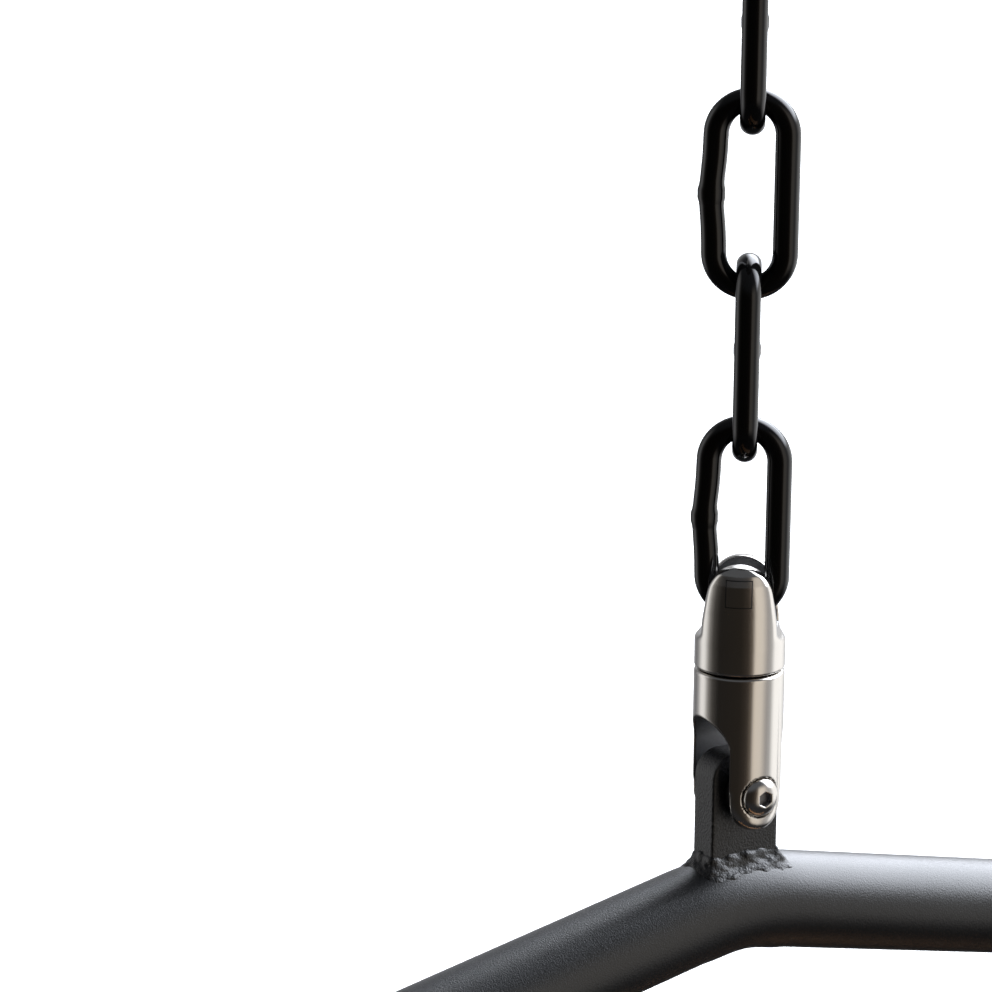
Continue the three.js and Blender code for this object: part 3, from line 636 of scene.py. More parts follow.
class SwingDetail(bpy.types.PropertyGroup):
    """Sizes of the details that the frame leaves open."""

    wire_sides: IntProperty(
        name="Wire sides", description="Facets round a link's wire", default=40, min=12, max=96,
    )
    tube_sides: IntProperty(
        name="Tube sides", description="Facets round the hoop's tube", default=96, min=16, max=192,
    )
    surface_cell: FloatProperty(
        name="Surface cell", description="Mesh size on the swivel's machined surfaces",
        default=0.42 * MM, min=0.2 * MM, max=2 * MM, unit="LENGTH", precision=5,
    )
    weld_bump: FloatProperty(
        name="Weld bump", description="Height of the ripples in the lug's weld",
        default=0.5 * MM, min=0, max=2 * MM, unit="LENGTH", precision=5,
    )
    bolt_head: FloatProperty(
        name="Bolt head", description="Radius of the domed bolts in the slats",
        default=8 * MM, min=4 * MM, max=14 * MM, unit="LENGTH", precision=4,
    )


# ---------------------------------------------------------------------- chain

def link_outline():
    """Stations round an upright link: (place, outward) in its plane, wire radii both ways."""
    stations = []
    straight = LINK_SPAN / 2 - BOW
    bow_steps, leg_steps = 36, 28

    def bow(first, lift):
        for k in range(bow_steps + 1):
            turn = first + math.pi * k / bow_steps
            flat = (WIRE - BEARING_HALF) * math.sin(turn) ** 2
            out = Vector((math.cos(turn), 0, math.sin(turn)))
            stations.append((out * BOW + Vector((0, 0, lift)), out, WIRE - flat, WIRE))

    def leg(side, top, bottom, welded):
        for k in range(1, leg_steps):
            height = top + (bottom - top) * k / leg_steps
            collar = math.exp(-((height / (2.6 * MM)) ** 8)) if welded else 0
            kink = math.exp(-((height / (10 * MM)) ** 2)) if welded else 0
            radius = WIRE + 0.5 * MM * collar - 0.1 * MM * kink
            place = Vector((side * (BOW + 1.1 * MM * kink), 0, height))
            stations.append((place, Vector((side, 0, 0)), radius, radius))

    bow(0, straight)
    leg(-1, straight, -straight, True)
    bow(math.pi, -straight)
    leg(1, -straight, straight, False)
    return stations


class SWING_OT_chain(bpy.types.Operator):
    """Build the chain's welded long links"""

    bl_idname = "swing.chain"
    bl_label = "Chain"

    def execute(self, context):
        sides = context.scene.swing_detail.wire_sides
        across = Vector((0, 1, 0))
        for index, node in enumerate(LINK_NAMES):
            low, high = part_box(node)
            axis = Vector(JOINTS["link_swing" if index % 2 else "ceiling_swing"]["axis"])
            turn = Matrix.Rotation(math.atan2(-axis.x, axis.y), 4, "Z")
            if index % 2:
                turn = turn @ Matrix.Rotation(math.pi, 4, "Z")
            middle = Matrix.Translation((0, 0, (low.z + high.z) / 2))
            stations = []
            for place, out, wide, thick in link_outline():
                outline = [(wide * u, thick * v) for u, v in circle(1, sides)]
                stations.append((place, out, across, outline))
            part = moved(sweep(stations, closed=True), middle @ turn)
            body = "lower_chain" if index else "top_link"
            stand_for(piece(f"link_{index + 1}", *part, finish("chain")), body, "chain", node)
        return {"FINISHED"}


# ---------------------------------------------------------------------- swivel

def yoke_profile():
    """The turned outside of the yoke, as (radius, level) points above the clevis."""
    bottom = SEAM_Z - CLEVIS.z + GAP
    rim = 0.8 * MM
    nose = [(14.4, 54), (14.15, 60), (13.6, 65), (12.7, 69.5), (11.3, 73), (9.2, 75.4), (6, 76.4)]
    points = [(-5 * MM, bottom)]
    points += arc((SWIVEL_RADIUS - rim, bottom + rim), rim, -90, 0, 6)
    points += [(SWIVEL_RADIUS, 49 * MM)] + [(r * MM, z * MM) for r, z in nose]
    return points + [(-5 * MM, 76.8 * MM)]


def yoke_cheeks():
    """The cheeks seen along the pin, as (side, level) points."""
    wide, waist, shoulder, dome, radius = (d * MM for d in (18, 12.2, 50, 65, 10.6))
    right = [(wide, 30 * MM), (wide, shoulder - 1 * MM)]
    right += arc((waist + 2.6 * MM, shoulder + 3.4 * MM), 2.6 * MM, 270, 180, 6)
    right += [(waist - 0.25 * MM, shoulder + 7 * MM)]
    top = arc((0, dome), radius, 8, 172, 24)
    return right + top + [(-u, v) for u, v in reversed(right)]


def yoke_outside(points):
    """Distance to the yoke's outside, before its slot and holes."""
    radius = np.hypot(points[:, 0], points[:, 1])
    blank = outline_distance(radius, points[:, 2], yoke_profile())
    cheeks = outline_distance(points[:, 0], points[:, 2], yoke_cheeks())
    return smooth_common(blank, cheeks, 1.1 * MM)


def yoke_field(points):
    """Distance to the upper yoke in its own turned frame."""
    reach = 30 * MM
    slot = box_distance(points, (-reach, -YOKE_SLOT, 54.5 * MM), (reach, YOKE_SLOT, 0.1))
    return smooth_cut(yoke_outside(points), slot, 0.9 * MM)


def skin_patch(half, lift, steps=28):
    """A square of the yoke's front skin round its pin, raised a little, as a closed shell."""
    level = YOKE_PIN.z - CLEVIS.z
    span = np.linspace(-half, half, steps + 1)
    u, w = (grid.ravel() for grid in np.meshgrid(span, span))
    near, far = np.full(u.shape, -18 * MM), np.full(u.shape, -8 * MM)
    for _ in range(30):
        middle = (near + far) / 2
        outside = yoke_outside(np.stack([u, middle, w + level], axis=-1)) > 0
        near, far = np.where(outside, middle, near), np.where(outside, far, middle)
    front = [Vector(v) for v in np.stack([u, near - lift, w + level], axis=-1)]
    back = [v + Vector((0, lift + 1 * MM, 0)) for v in front]
    row, count = steps + 1, len(front)
    faces = []
    for i in range(steps):
        for k in range(steps):
            a = i * row + k
            faces.append((a, a + 1, a + row + 1, a + row))
            faces.append(tuple(count + v for v in (a, a + row, a + row + 1, a + 1)))
    rim = list(range(steps)) + [i * row + steps for i in range(steps)]
    rim += [steps * row + k for k in range(steps, 0, -1)] + [i * row for i in range(steps, 0, -1)]
    for a, b in zip(rim, rim[1:] + rim[:1]):
        faces.append((a, count + a, count + b, b))
    return front + back, faces


def pin_shank():
    """The pin's round shank between the cheeks, and its end in the rear one."""
    profile = [(0, -5.8), (4, -5.8), (4, 12.6), (3.7, 12.95), (0, 13)]
    upright = turned([(r * MM, z * MM) for r, z in profile], 48)
    level = Matrix.Translation((0, 0, YOKE_PIN.z - CLEVIS.z))
    return moved(upright, level @ Matrix.Rotation(-math.pi / 2, 4, "X"))


def fork_profile():
    """The turned outside of the lower fork."""
    top = SEAM_Z - CLEVIS.z - GAP
    rim = 1.3 * MM
    points = [(-5 * MM, -16 * MM), (SWIVEL_RADIUS, -16 * MM)]
    points += arc((SWIVEL_RADIUS - rim, top - rim), rim, 0, 90, 7)
    return points + [(-5 * MM, top)]


def fork_cheeks():
    """The fork seen along the clevis screw: a round toe under a wide body."""
    wide = 18 * MM
    toe = arc((0, 0), FORK_TOE, 180, 360, 24)
    return [(wide, 0), (wide, 60 * MM), (-wide, 60 * MM), (-wide, 0)] + toe


def fork_field(points):
    """Distance to the lower fork."""
    x, y, z = points.T
    blank = outline_distance(np.hypot(x, y), z, fork_profile())
    body = smooth_common(blank, outline_distance(x, z, fork_cheeks()), 3.2 * MM)
    slot = np.where(z < FORK_ARCH, np.abs(y), np.hypot(y, z - FORK_ARCH)) - FORK_SLOT
    body = smooth_cut(body, slot, 1.1 * MM)
    body = smooth_cut(body, rod_distance(points, 1, 4.2 * MM, -30 * MM, 30 * MM), 0.3 * MM)
    seat = rod_distance(points, 1, 6.75 * MM, -30 * MM, -12.8 * MM)
    body = smooth_cut(body, seat, 0.5 * MM)
    return smooth_cut(body, rod_distance(points, 2, 8.5 * MM, 0, 31 * MM), 0.4 * MM)


def screw_field(points):
    """Distance to the button-head clevis screw with its hexagon socket."""
    x, y, z = points.T
    radius = np.hypot(x, z)
    seat, crown = -13.1 * MM, -16.7 * MM
    edge = seat - 0.5 * MM
    head = [(-5 * MM, seat), (6.3 * MM, seat), (6.4 * MM, edge)]
    turns = np.radians(range(10, 66, 5))
    head += [(6.4 * MM * math.cos(t), edge - 3.42 * MM * math.sin(t)) for t in turns]
    dome = outline_distance(radius, y, head + [(2.4 * MM, crown), (-5 * MM, crown)])
    shank = rod_distance(points, 1, 4 * MM, -14 * MM, 13.1 * MM)
    body = smooth_join(dome, shank, 0.1 * MM)
    turns = np.radians((0, 60, 120))
    flats = np.max([np.abs(x * math.cos(t) + z * math.sin(t)) for t in turns], axis=0) - 2.1 * MM
    socket = np.maximum(flats, y - (crown + 2.4 * MM))
    return smooth_cut(body, socket, 0.6 * MM)


def slot_faces(made, inside):
    """Gives the blasted finish to the faces whose middle lies inside the slot."""
    mesh = made.data
    mesh.materials.append(finish("blasted"))
    middles = np.zeros(len(mesh.polygons) * 3)
    mesh.polygons.foreach_get("center", middles)
    chosen = inside(middles.reshape(-1, 3)).astype(np.int32)
    mesh.polygons.foreach_set("material_index", chosen)


class SWING_OT_swivel(bpy.types.Operator):
    """Build the swivel's yoke, pin, fork and clevis screw"""

    bl_idname = "swing.swivel"
    bl_label = "Swivel"

    def execute(self, context):
        cell = context.scene.swing_detail.surface_cell
        steel = finish("steel")
        upper = Matrix.Translation(CLEVIS) @ Matrix.Rotation(YOKE_TURN, 4, "Z")
        lower = Matrix.Translation(CLEVIS)
        wide = SWIVEL_RADIUS

        surface = contour(yoke_field, (-wide, -wide, 40 * MM), (wide, wide, 77 * MM), cell)
        yoke = piece("yoke", *placed(surface, upper), steel)
        axis, floor = np.array(YOKE_AXIS), CLEVIS.z + 54.2 * MM
        slot_faces(yoke, lambda m: (np.abs(m @ axis) < YOKE_SLOT + 0.1 * MM) & (m[:, 2] > floor))
        stand_for(yoke, "yoke", "steel", "swivel_upper_yoke")

        parts = [moved(part, upper) for part in (skin_patch(4 * MM, 0.08 * MM), pin_shank())]
        pin = merged("yoke_pin", parts, steel)
        stand_for(pin, "yoke", "steel", "swivel_upper_pin")
        # A black square a little wider than the pin head sits just under it and shows as a thin
        # dark ring round the head: painted shade for the gap between head and cheek.
        gap = moved(skin_patch(4.32 * MM, 0.03 * MM), upper)
        stand_for(piece("yoke_pin_gap", *gap, finish("acetal")), "yoke", "acetal")

        surface = contour(fork_field, (-wide, -wide, -13 * MM), (wide, wide, 41 * MM), cell)
        fork = piece("fork", *placed(surface, lower), steel)
        arch = CLEVIS.z + FORK_ARCH

        def in_slot(m):
            across = np.where(m[:, 2] < arch, np.abs(m[:, 1]), np.hypot(m[:, 1], m[:, 2] - arch))
            return across < FORK_SLOT + 0.12 * MM

        slot_faces(fork, in_slot)
        stand_for(fork, "fork", "steel", "swivel_lower_fork")

        corner = (6.5 * MM, 14 * MM, 6.5 * MM)
        surface = contour(screw_field, (-6.5 * MM, -17 * MM, -6.5 * MM), corner, 0.55 * cell)
        screw = piece("clevis_bolt", *placed(surface, lower), steel)

        def in_socket(m):
            inside = np.hypot(m[:, 0], m[:, 2] - CLEVIS.z) < 2.5 * MM
            deep = (m[:, 1] > CLEVIS.y - 16.3 * MM) & (m[:, 1] < CLEVIS.y - 13.5 * MM)
            return inside & deep

        slot_faces(screw, in_socket)
        stand_for(screw, "fork", "steel", "clevis_screw")

        for side in ("front", "rear"):
            node = f"clevis_spacer_{side}"
            low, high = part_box(node)
            outer, bore, edge = (high.x - low.x) / 2, 4.3 * MM, 0.5 * MM
            near, far = low.y, high.y
            profile = [
                (bore, near), (outer - edge, near), (outer, near + edge), (outer, far - edge),
                (outer - edge, far), (bore, far),
            ]
            stations = []
            for k in range(64):
                turn = 2 * math.pi * k / 64
                out = Vector((math.cos(turn), 0, math.sin(turn)))
                stations.append((Vector((0, 0, CLEVIS.z)), out, Vector((0, 1, 0)), profile))
            spacer = piece(f"spacer_{side}", *sweep(stations, closed=True), finish("acetal"), False)
            stand_for(spacer, "fork", "acetal", node)

        return {"FINISHED"}


# ---------------------------------------------------------------------- lug and weld

def apex_crown():
    """Level of the tube's centre line in the middle of the apex bend, above the clevis."""
    return -APEX_DROP - APEX_BEND * (1 / math.cos(ARM_SLOPE) - 1)


def apex_tube(points):
    """Distance to the hoop's tube near its apex."""
    x, y, z = points.T
    centre = apex_crown() - APEX_BEND
    reach = APEX_BEND * math.sin(ARM_SLOPE)
    beyond = np.maximum(np.abs(x) - reach, 0)
    arc_part = np.hypot(np.clip(x, -reach, reach), z - centre) - APEX_BEND
    start = centre + APEX_BEND * math.cos(ARM_SLOPE)
    arm_part = (z - start + beyond * math.tan(ARM_SLOPE)) * math.cos(ARM_SLOPE)
    drop = np.where(beyond > 0, arm_part, arc_part)
    return np.hypot(drop, y) - TUBE_RADIUS


def lug_outline():
    """The lug seen from the front."""
    half, inset = LUG_HALF[0], LUG_HALF[0] - LUG_CORNER
    centre = LUG_TOP - LUG_CORNER
    points = [(-half, -45 * MM), (half, -45 * MM)]
    points += arc((inset, centre), LUG_CORNER, 0, 90)
    return points + arc((-inset, centre), LUG_CORNER, 90, 180)


def lug_plate(points):
    """Distance to the lug's flat bar, without its hole."""
    face = outline_distance(points[:, 0], points[:, 2], lug_outline())
    return smooth_common(face, np.abs(points[:, 1]) - LUG_HALF[1], 0.9 * MM)


def lug_field(points):
    """Distance to the lug down to the tube."""
    body = smooth_cut(lug_plate(points), rod_distance(points, 1, 4.3 * MM, -0.02, 0.02), 0.4 * MM)
    return np.maximum(body, -31 * MM - points[:, 2])


def weld_field(points):
    """Distance to the weld bead: a lumpy fillet where the lug meets the tube."""
    plate, tube = lug_plate(points), apex_tube(points)
    bump = bpy.context.scene.swing_detail.weld_bump
    ripple = lumps(points, 3.4 * MM, 5) * 0.7 * bump + lumps(points, 1.4 * MM, 9) * 0.2 * bump
    fillet = smooth_join(plate + 0.4 * MM, tube + 0.4 * MM, 7.5 * MM) - 0.2 * MM
    edge = np.hypot(np.maximum(plate, 0), np.maximum(tube, 0)) - 4.3 * MM
    return smooth_common(fillet - ripple, edge - ripple, 1.4 * MM)


class SWING_OT_lug(bpy.types.Operator):
    """Build the lug and the weld that holds it on the tube"""

    bl_idname = "swing.lug"
    bl_label = "Lug and weld"

    def execute(self, context):
        cell = context.scene.swing_detail.surface_cell
        place = Matrix.Translation(CLEVIS)
        corner = (13 * MM, 6 * MM, 13 * MM)
        surface = contour(lug_field, (-13 * MM, -6 * MM, -32 * MM), corner, cell)
        lug = piece("hanging_lug", *placed(surface, place), finish("weld"))
        stand_for(lug, "swing", "weld", "lug")
        low, high = (-24 * MM, -17 * MM, -37 * MM), (24 * MM, 17 * MM, -10 * MM)
        surface = contour(weld_field, low, high, 0.5 * MM)
        weld = piece("lug_weld_bead", *placed(surface, place), finish("weld"))
        stand_for(weld, "swing", "weld", "lug_weld")
        return {"FINISHED"}


# ---------------------------------------------------------------------- hoop

def pinch(place, turn):
    """How far the tube's skin is drawn in on the inside of the apex bend."""
    along = place.x / (7.5 * MM)
    under = max(0, -math.sin(turn)) ** 3
    fold = math.exp(-(along ** 2)) - 0.75 * math.exp(-((abs(along) - 1.9) ** 2) / 0.5)
    return 0.55 * MM * fold * under


def tube(name, line, sides, skin=None):
    """A tube in the hoop's plane along (point, heading) stations, its ends broken slightly."""
    depth = Vector((0, 1, 0))
    edge = 0.7 * MM
    stations = []
    ends = {0: (edge, 1), len(line) - 1: (edge, -1)}
    for index, (place, heading) in enumerate(line):
        up = heading.cross(depth)
        if index in ends:
            shrink, inward = ends[index]
            small = circle(TUBE_RADIUS - shrink, sides)
            full = circle(TUBE_RADIUS, sides)
            pair = [(place, small), (place + heading * shrink * inward, full)]
            for centre, outline in pair[::inward]:
                stations.append((centre, depth, up, outline))
            continue
        outline = circle(TUBE_RADIUS, sides)
        if skin:
            turns = (math.atan2(v, u) for u, v in outline)
            outline = [
                (u * (1 - skin(place, t) / TUBE_RADIUS), v * (1 - skin(place, t) / TUBE_RADIUS))
                for (u, v), t in zip(outline, turns)
            ]
        stations.append((place, depth, up, outline))
    return piece(name, *sweep(stations), finish("coat"))


class SWING_OT_hoop(bpy.types.Operator):
    """Build the hoop's tubes"""

    bl_idname = "swing.hoop"
    bl_label = "Hoop"

    def execute(self, context):
        sides = context.scene.swing_detail.tube_sides
        apex = CLEVIS.z - APEX_DROP
        shoulder = apex - UPRIGHT_X * math.tan(ARM_SLOPE)
        top_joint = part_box("hanger_tube")[0].z
        corners = [
            Vector((x, 0, z)) for x, z in (
                (-UPRIGHT_X, top_joint), (-UPRIGHT_X, shoulder), (0, apex),
                (UPRIGHT_X, shoulder), (UPRIGHT_X, top_joint),
            )
        ]
        radii = [SHOULDER_BEND, APEX_BEND, SHOULDER_BEND]
        line = bent_line(corners, radii, math.radians(1.2))
        hanger = tube("hanger", line, sides, pinch)
        stand_for(hanger, "swing", "coat", "hanger_tube")

        low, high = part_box("bottom_tube")
        foot = low.z + TUBE_RADIUS
        corners = [
            Vector((x, 0, z)) for x, z in (
                (-UPRIGHT_X, high.z), (-UPRIGHT_X, foot), (UPRIGHT_X, foot), (UPRIGHT_X, high.z),
            )
        ]
        bottom = tube("foot_tube", bent_line(corners, [FOOT_BEND, FOOT_BEND]), sides)
        stand_for(bottom, "swing", "coat", "bottom_tube")

        for side, sign in (("left", -1), ("right", 1)):
            node = f"upright_{side}"
            low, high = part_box(node)
            ends = [Vector((sign * UPRIGHT_X, 0, z)) for z in (low.z, high.z)]
            post = tube(f"post_{side}", bent_line(ends, []), sides)
            stand_for(post, "swing", "coat", node)
        return {"FINISHED"}


# ---------------------------------------------------------------------- repeats

class Repeater:
    """A Geometry Nodes group that puts one shape at each vertex of a mesh of places."""

    def __init__(self):
        self.group = bpy.data.node_groups.new("repeat_shape", "GeometryNodeTree")
        face = self.group.interface
        self.places = face.new_socket("Places", in_out="INPUT", socket_type="NodeSocketGeometry")
        self.shape = face.new_socket("Shape", in_out="INPUT", socket_type="NodeSocketObject")
        self.finish = face.new_socket("Finish", in_out="INPUT", socket_type="NodeSocketMaterial")
        self.seed = face.new_socket("Seed", in_out="INPUT", socket_type="NodeSocketInt")
        face.new_socket("Geometry", in_out="OUTPUT", socket_type="NodeSocketGeometry")
        inputs, output = self.node("NodeGroupInput"), self.node("NodeGroupOutput")
        shape = self.node("GeometryNodeObjectInfo")
        spread = self.node("GeometryNodeInstanceOnPoints")
        chance = self.node("FunctionNodeRandomValue", data_type="FLOAT")
        tone = self.node("GeometryNodeStoreNamedAttribute", data_type="FLOAT", domain="INSTANCE")
        tone.inputs["Name"].default_value = "tone"
        real = self.node("GeometryNodeRealizeInstances")
        painted = self.node("GeometryNodeSetMaterial")
        self.join(inputs, "Places", spread, "Points")
        self.join(inputs, "Shape", shape, "Object")
        self.join(shape, "Geometry", spread, "Instance")
        self.join(spread, "Instances", tone, "Geometry")
        self.join(inputs, "Seed", chance, "Seed")
        self.group.links.new(self.live(chance.outputs), tone.inputs["Value"])
        self.join(tone, "Geometry", real, "Geometry")
        self.join(real, "Geometry", painted, "Geometry")
        self.join(inputs, "Finish", painted, "Material")
        self.join(painted, "Geometry", output, "Geometry")

    def node(self, kind, **settings):
        """A node with its settings."""
        made = self.group.nodes.new(kind)
        for key, value in settings.items():
            setattr(made, key, value)
        return made

    def join(self, source, output, target, into):
        """A link between two nodes by socket name."""
        self.group.links.new(source.outputs[output], target.inputs[into])

    @staticmethod
    def live(sockets):
        """The one socket of a node that its settings leave in use."""
        return next(socket for socket in sockets if socket.enabled)

    def build(self, name, shape, places, finish_name, seed):
        """One mesh with the shape at every place, as a new object."""
        mesh = bpy.data.meshes.new(name)
        mesh.from_pydata([tuple(place) for place in places], [], [])
        holder = bpy.data.objects.new(name + "_places", mesh)
        bpy.context.scene.collection.objects.link(holder)
        original = piece(name + "_shape", *shape, finish(finish_name))
        modifier = holder.modifiers.new("repeat", "NODES")
        modifier.node_group = self.group
        modifier[self.shape.identifier] = original
        modifier[self.finish.identifier] = finish(finish_name)
        modifier[self.seed.identifier] = seed
        bpy.context.view_layer.update()
        graph = bpy.context.evaluated_depsgraph_get()
        real = bpy.data.meshes.new_from_object(holder.evaluated_get(graph))
        real.name = name
        made = bpy.data.objects.new(name, real)
        bpy.context.scene.collection.objects.link(made)
        holder.modifiers.remove(modifier)
        for spare in (holder, original):
            bpy.data.objects.remove(spare)
        return made


# ---------------------------------------------------------------------- bench

def board():
    """One slat along X, with its edges and ends eased."""
    length, width, thickness = SLAT_SIZE
    ends = [(0, 1.1 * MM), (0.35 * MM, 0.35 * MM), (1.1 * MM, 0)]
    along = [(-length / 2 + d, e) for d, e in ends]
    along += [(length / 2 - d, e) for d, e in reversed(ends)]
    stations = []
    for x, ease in along:
        outline = rounded_rectangle(width / 2 - ease, thickness / 2 - ease, 4 * MM - ease)
        stations.append((Vector((x, 0, 0)), Vector((0, 1, 0)), Vector((0, 0, 1)), outline))
    return sweep(stations)


def slat_bolt():
    """A domed bolt from the slat's face to the nut under the bearer, along Z from the face."""
    head = bpy.context.scene.swing_detail.bolt_head
    dome = [(0, -0.2 * MM), (head, -0.2 * MM), (head, 0.5 * MM)]
    for t in np.radians(range(15, 90, 15)):
        dome.append((head * math.cos(t), 0.5 * MM + 3.6 * MM * math.sin(t)))
    under = -(SLAT_SIZE[2] + GAP + BAR_THICKNESS)
    washer = [(0, under - 1.4 * MM), (8 * MM, under - 1.4 * MM), (8.2 * MM, under), (0, under)]
    tip = under - 11 * MM
    shank = [(0, tip), (3.2 * MM, tip), (4 * MM, tip + 0.8 * MM), (4 * MM, under), (0, under)]
    nut = []
    for height, radius in ((-8, 6.9), (-7.3, 7.5), (-1.4, 7.5)):
        centre = Vector((0, 0, under + height * MM))
        nut.append((centre, Vector((1, 0, 0)), Vector((0, 1, 0)), circle(radius * MM, 6)))
    parts = [turned(dome + [(0, 4.1 * MM)], 28), turned(washer, 28), turned(shank, 20), sweep(nut)]
    verts, faces = [], []
    for part_verts, part_faces in parts:
        start = len(verts)
        verts.extend(part_verts)
        faces.extend([tuple(start + i for i in face) for face in part_faces])
    return verts, faces


def flat_bar(corners, radius, half_x, half_deep, middle_x):
    """A flat bar bent in the plane across the bench."""
    axis = Vector((1, 0, 0))
    shift = Vector((middle_x, 0, 0))
    corner = min(half_x, half_deep) * 0.35
    outline = rounded_rectangle(half_x, half_deep, corner)
    line = bent_line(corners, [radius], math.radians(4))
    return sweep([(place + shift, axis, heading.cross(axis), outline) for place, heading in line])


class SWING_OT_bench(bpy.types.Operator):
    """Build the bench's slats, bolts, bearers, arm rails and armrests"""

    bl_idname = "swing.bench"
    bl_label = "Bench"

    def execute(self, context):
        repeater = Repeater()
        sets = (("seat", -SEAT_TILT, 11), ("back", math.pi / 2 - BACK_RECLINE, 23))
        bearings = [self.middle(f"bearer_{side}").x for side in ("left", "middle", "right")]
        for name, tilt, seed in sets:
            nodes = [f"{name}_slat_{i + 1}" for i in range(SLAT_COUNT)]
            centres = [self.middle(node) for node in nodes]
            turn = Matrix.Rotation(tilt, 4, "X")
            slats = repeater.build(f"{name}_slats", moved(board(), turn), centres, "teak", seed)
            stand_for(slats, "swing", "teak", *nodes)
            face = turn @ Vector((0, 0, SLAT_SIZE[2] / 2))
            places = [c + face + Vector((x, 0, 0)) for c in centres for x in bearings]
            bolt = moved(slat_bolt(), turn)
            bolts = repeater.build(f"{name}_bolts", bolt, places, "steel", seed + 1)
            stand_for(bolts, "swing", "steel")
        self.bearers(bearings)
        self.arms()
        return {"FINISHED"}

    @staticmethod
    def middle(node):
        """The middle of a node's box."""
        low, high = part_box(node)
        return (low + high) / 2

    def bearers(self, bearings):
        """The three flat bars that carry the slats."""
        drop = SEAT_BAR_DROP + CROOK_Y * math.tan(SEAT_TILT)
        crook = CLEVIS + Vector((0, CROOK_Y, -drop))
        forward = Vector((0, -math.cos(SEAT_TILT), math.sin(SEAT_TILT)))
        upward = Vector((0, math.sin(BACK_RECLINE), math.cos(BACK_RECLINE)))
        corners = [crook + forward * SEAT_LINE, crook, crook + upward * BACK_LINE]
        for side, x in zip(("left", "middle", "right"), bearings):
            bar = flat_bar(corners, CROOK_BEND, 20 * MM, BAR_THICKNESS / 2, x)
            made = piece(f"bench_bar_{side}", *bar, finish("coat"))
            stand_for(made, "swing", "coat", f"bearer_{side}")

    def arms(self):
        """The arm rails and the boards on them."""
        for side in ("left", "right"):
            low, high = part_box(f"arm_rail_{side}")
            half = 15 * MM
            front, level = low.y + half, high.z - half
            turns = ((high.y, level), (front, level), (front, low.z))
            corners = [Vector((0, y, z)) for y, z in turns]
            rail = flat_bar(corners, 55 * MM, (high.x - low.x) / 2, half, (low.x + high.x) / 2)
            made = piece(f"rail_{side}", *rail, finish("coat"))
            stand_for(made, "swing", "coat", f"arm_rail_{side}")

            low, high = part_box(f"armrest_{side}")
            half_x, half_y = (high.x - low.x) / 2, (high.y - low.y) / 2
            layers = [(0, 1.6), (1.5, 0), (17.5, 0), (19.5, 0.8), (21, 2.2), (22, 4.4)]
            stations = []
            for height, ease in layers:
                sides = (half_x - ease * MM, half_y - ease * MM)
                outline = rounded_rectangle(*sides, (14 - ease) * MM, 8)
                centre = (low + high) / 2
                centre.z = low.z + height * MM
                stations.append((centre, Vector((1, 0, 0)), Vector((0, 1, 0)), outline))
            made = piece(f"arm_board_{side}", *sweep(stations), finish("teak_arm"))
            stand_for(made, "swing", "teak_arm", f"armrest_{side}")


# ---------------------------------------------------------------------- ceiling

def plate_field(points):
    """Distance to the round ceiling plate with its four screw holes."""
    thick = CEILING_PLATE[1]
    body = rod_distance(points, 2, CEILING_PLATE[0] - 1 * MM, -thick + 1 * MM, -1 * MM) - 1 * MM
    for k in range(4):
        turn = math.pi / 2 * (k + 0.5)
        shift = np.array((40 * MM * math.cos(turn), 40 * MM * math.sin(turn), 0))
        body = smooth_cut(body, rod_distance(points - shift, 2, 4.5 * MM, -0.05, 0.05), 0.7 * MM)
    return body


class SWING_OT_ceiling(bpy.types.Operator):
    """Build the ceiling plate and its eye"""

    bl_idname = "swing.ceiling"
    bl_label = "Ceiling plate and eye"

    def execute(self, context):
        turn = Matrix.Rotation(YOKE_TURN, 4, "Z")
        radius, thick = CEILING_PLATE
        low, high = (-radius, -radius, -thick), (radius, radius, 0)
        surface = contour(plate_field, low, high, 1 * MM)
        plate = piece("plate", *placed(surface, turn), finish("coat"))
        stand_for(plate, "ceiling", "coat", "ceiling_plate")

        under, bottom, half = -thick - GAP, JOINTS["ceiling_swing"]["pos_m"][2], 15 * MM
        corners = [Vector((0, y, z)) for y, z in (
            (-half, under), (-half, bottom), (half, bottom), (half, under),
        )]
        axis = Vector((1, 0, 0))
        line = bent_line(corners, [half - 0.01 * MM] * 2, math.radians(5))
        outline = circle(5 * MM, 48)
        bow = sweep([(place, axis, heading.cross(axis), outline) for place, heading in line])
        parts = [moved(bow, turn)]
        for y in (-half, half):
            bead = turned([(r * MM, z * MM) for r, z in EYE_BEAD], 40)
            parts.append(moved(bead, turn @ Matrix.Translation((0, y, -thick))))
        eye = merged("eye", parts, finish("coat"))
        stand_for(eye, "ceiling", "coat", "ceiling_eye")
        return {"FINISHED"}


# ---------------------------------------------------------------------- parts kept as built

KEPT = {
    "swivel_spindle": "blasted",
    "swivel_thrust_washer": "acetal",
    "arm_bush": "acetal",
    "spigot_screw": "steel",
    "spigot": "coat",
    "saddle": "coat",
    "arm_bolt": "steel",
    "arm_nut": "steel",
}


class SWING_OT_kept(bpy.types.Operator):
    """Give the parts that keep their built shape their finishes"""

    bl_idname = "swing.kept"
    bl_label = "Kept parts"

    def execute(self, context):
        for name, node in frame["nodes"].items():
            for start, finish_name in KEPT.items():
                if name.startswith(start):
                    node.data.materials[0] = finish(finish_name)
                    break
        return {"FINISHED"}


# ---------------------------------------------------------------------- stage

CAMERA_AZIMUTH = math.radians(-30.85)
CAMERA_ELEVATION = math.radians(14.18)
CAMERA_ROLL = math.radians(0.45)
CAMERA_DISTANCE = 1.22192
CAMERA_OFFSET = (-0.07778, 0.0936)
FOCAL_PIXELS = 3777.5
FRAME_PIXELS = 992
SENSOR = 36


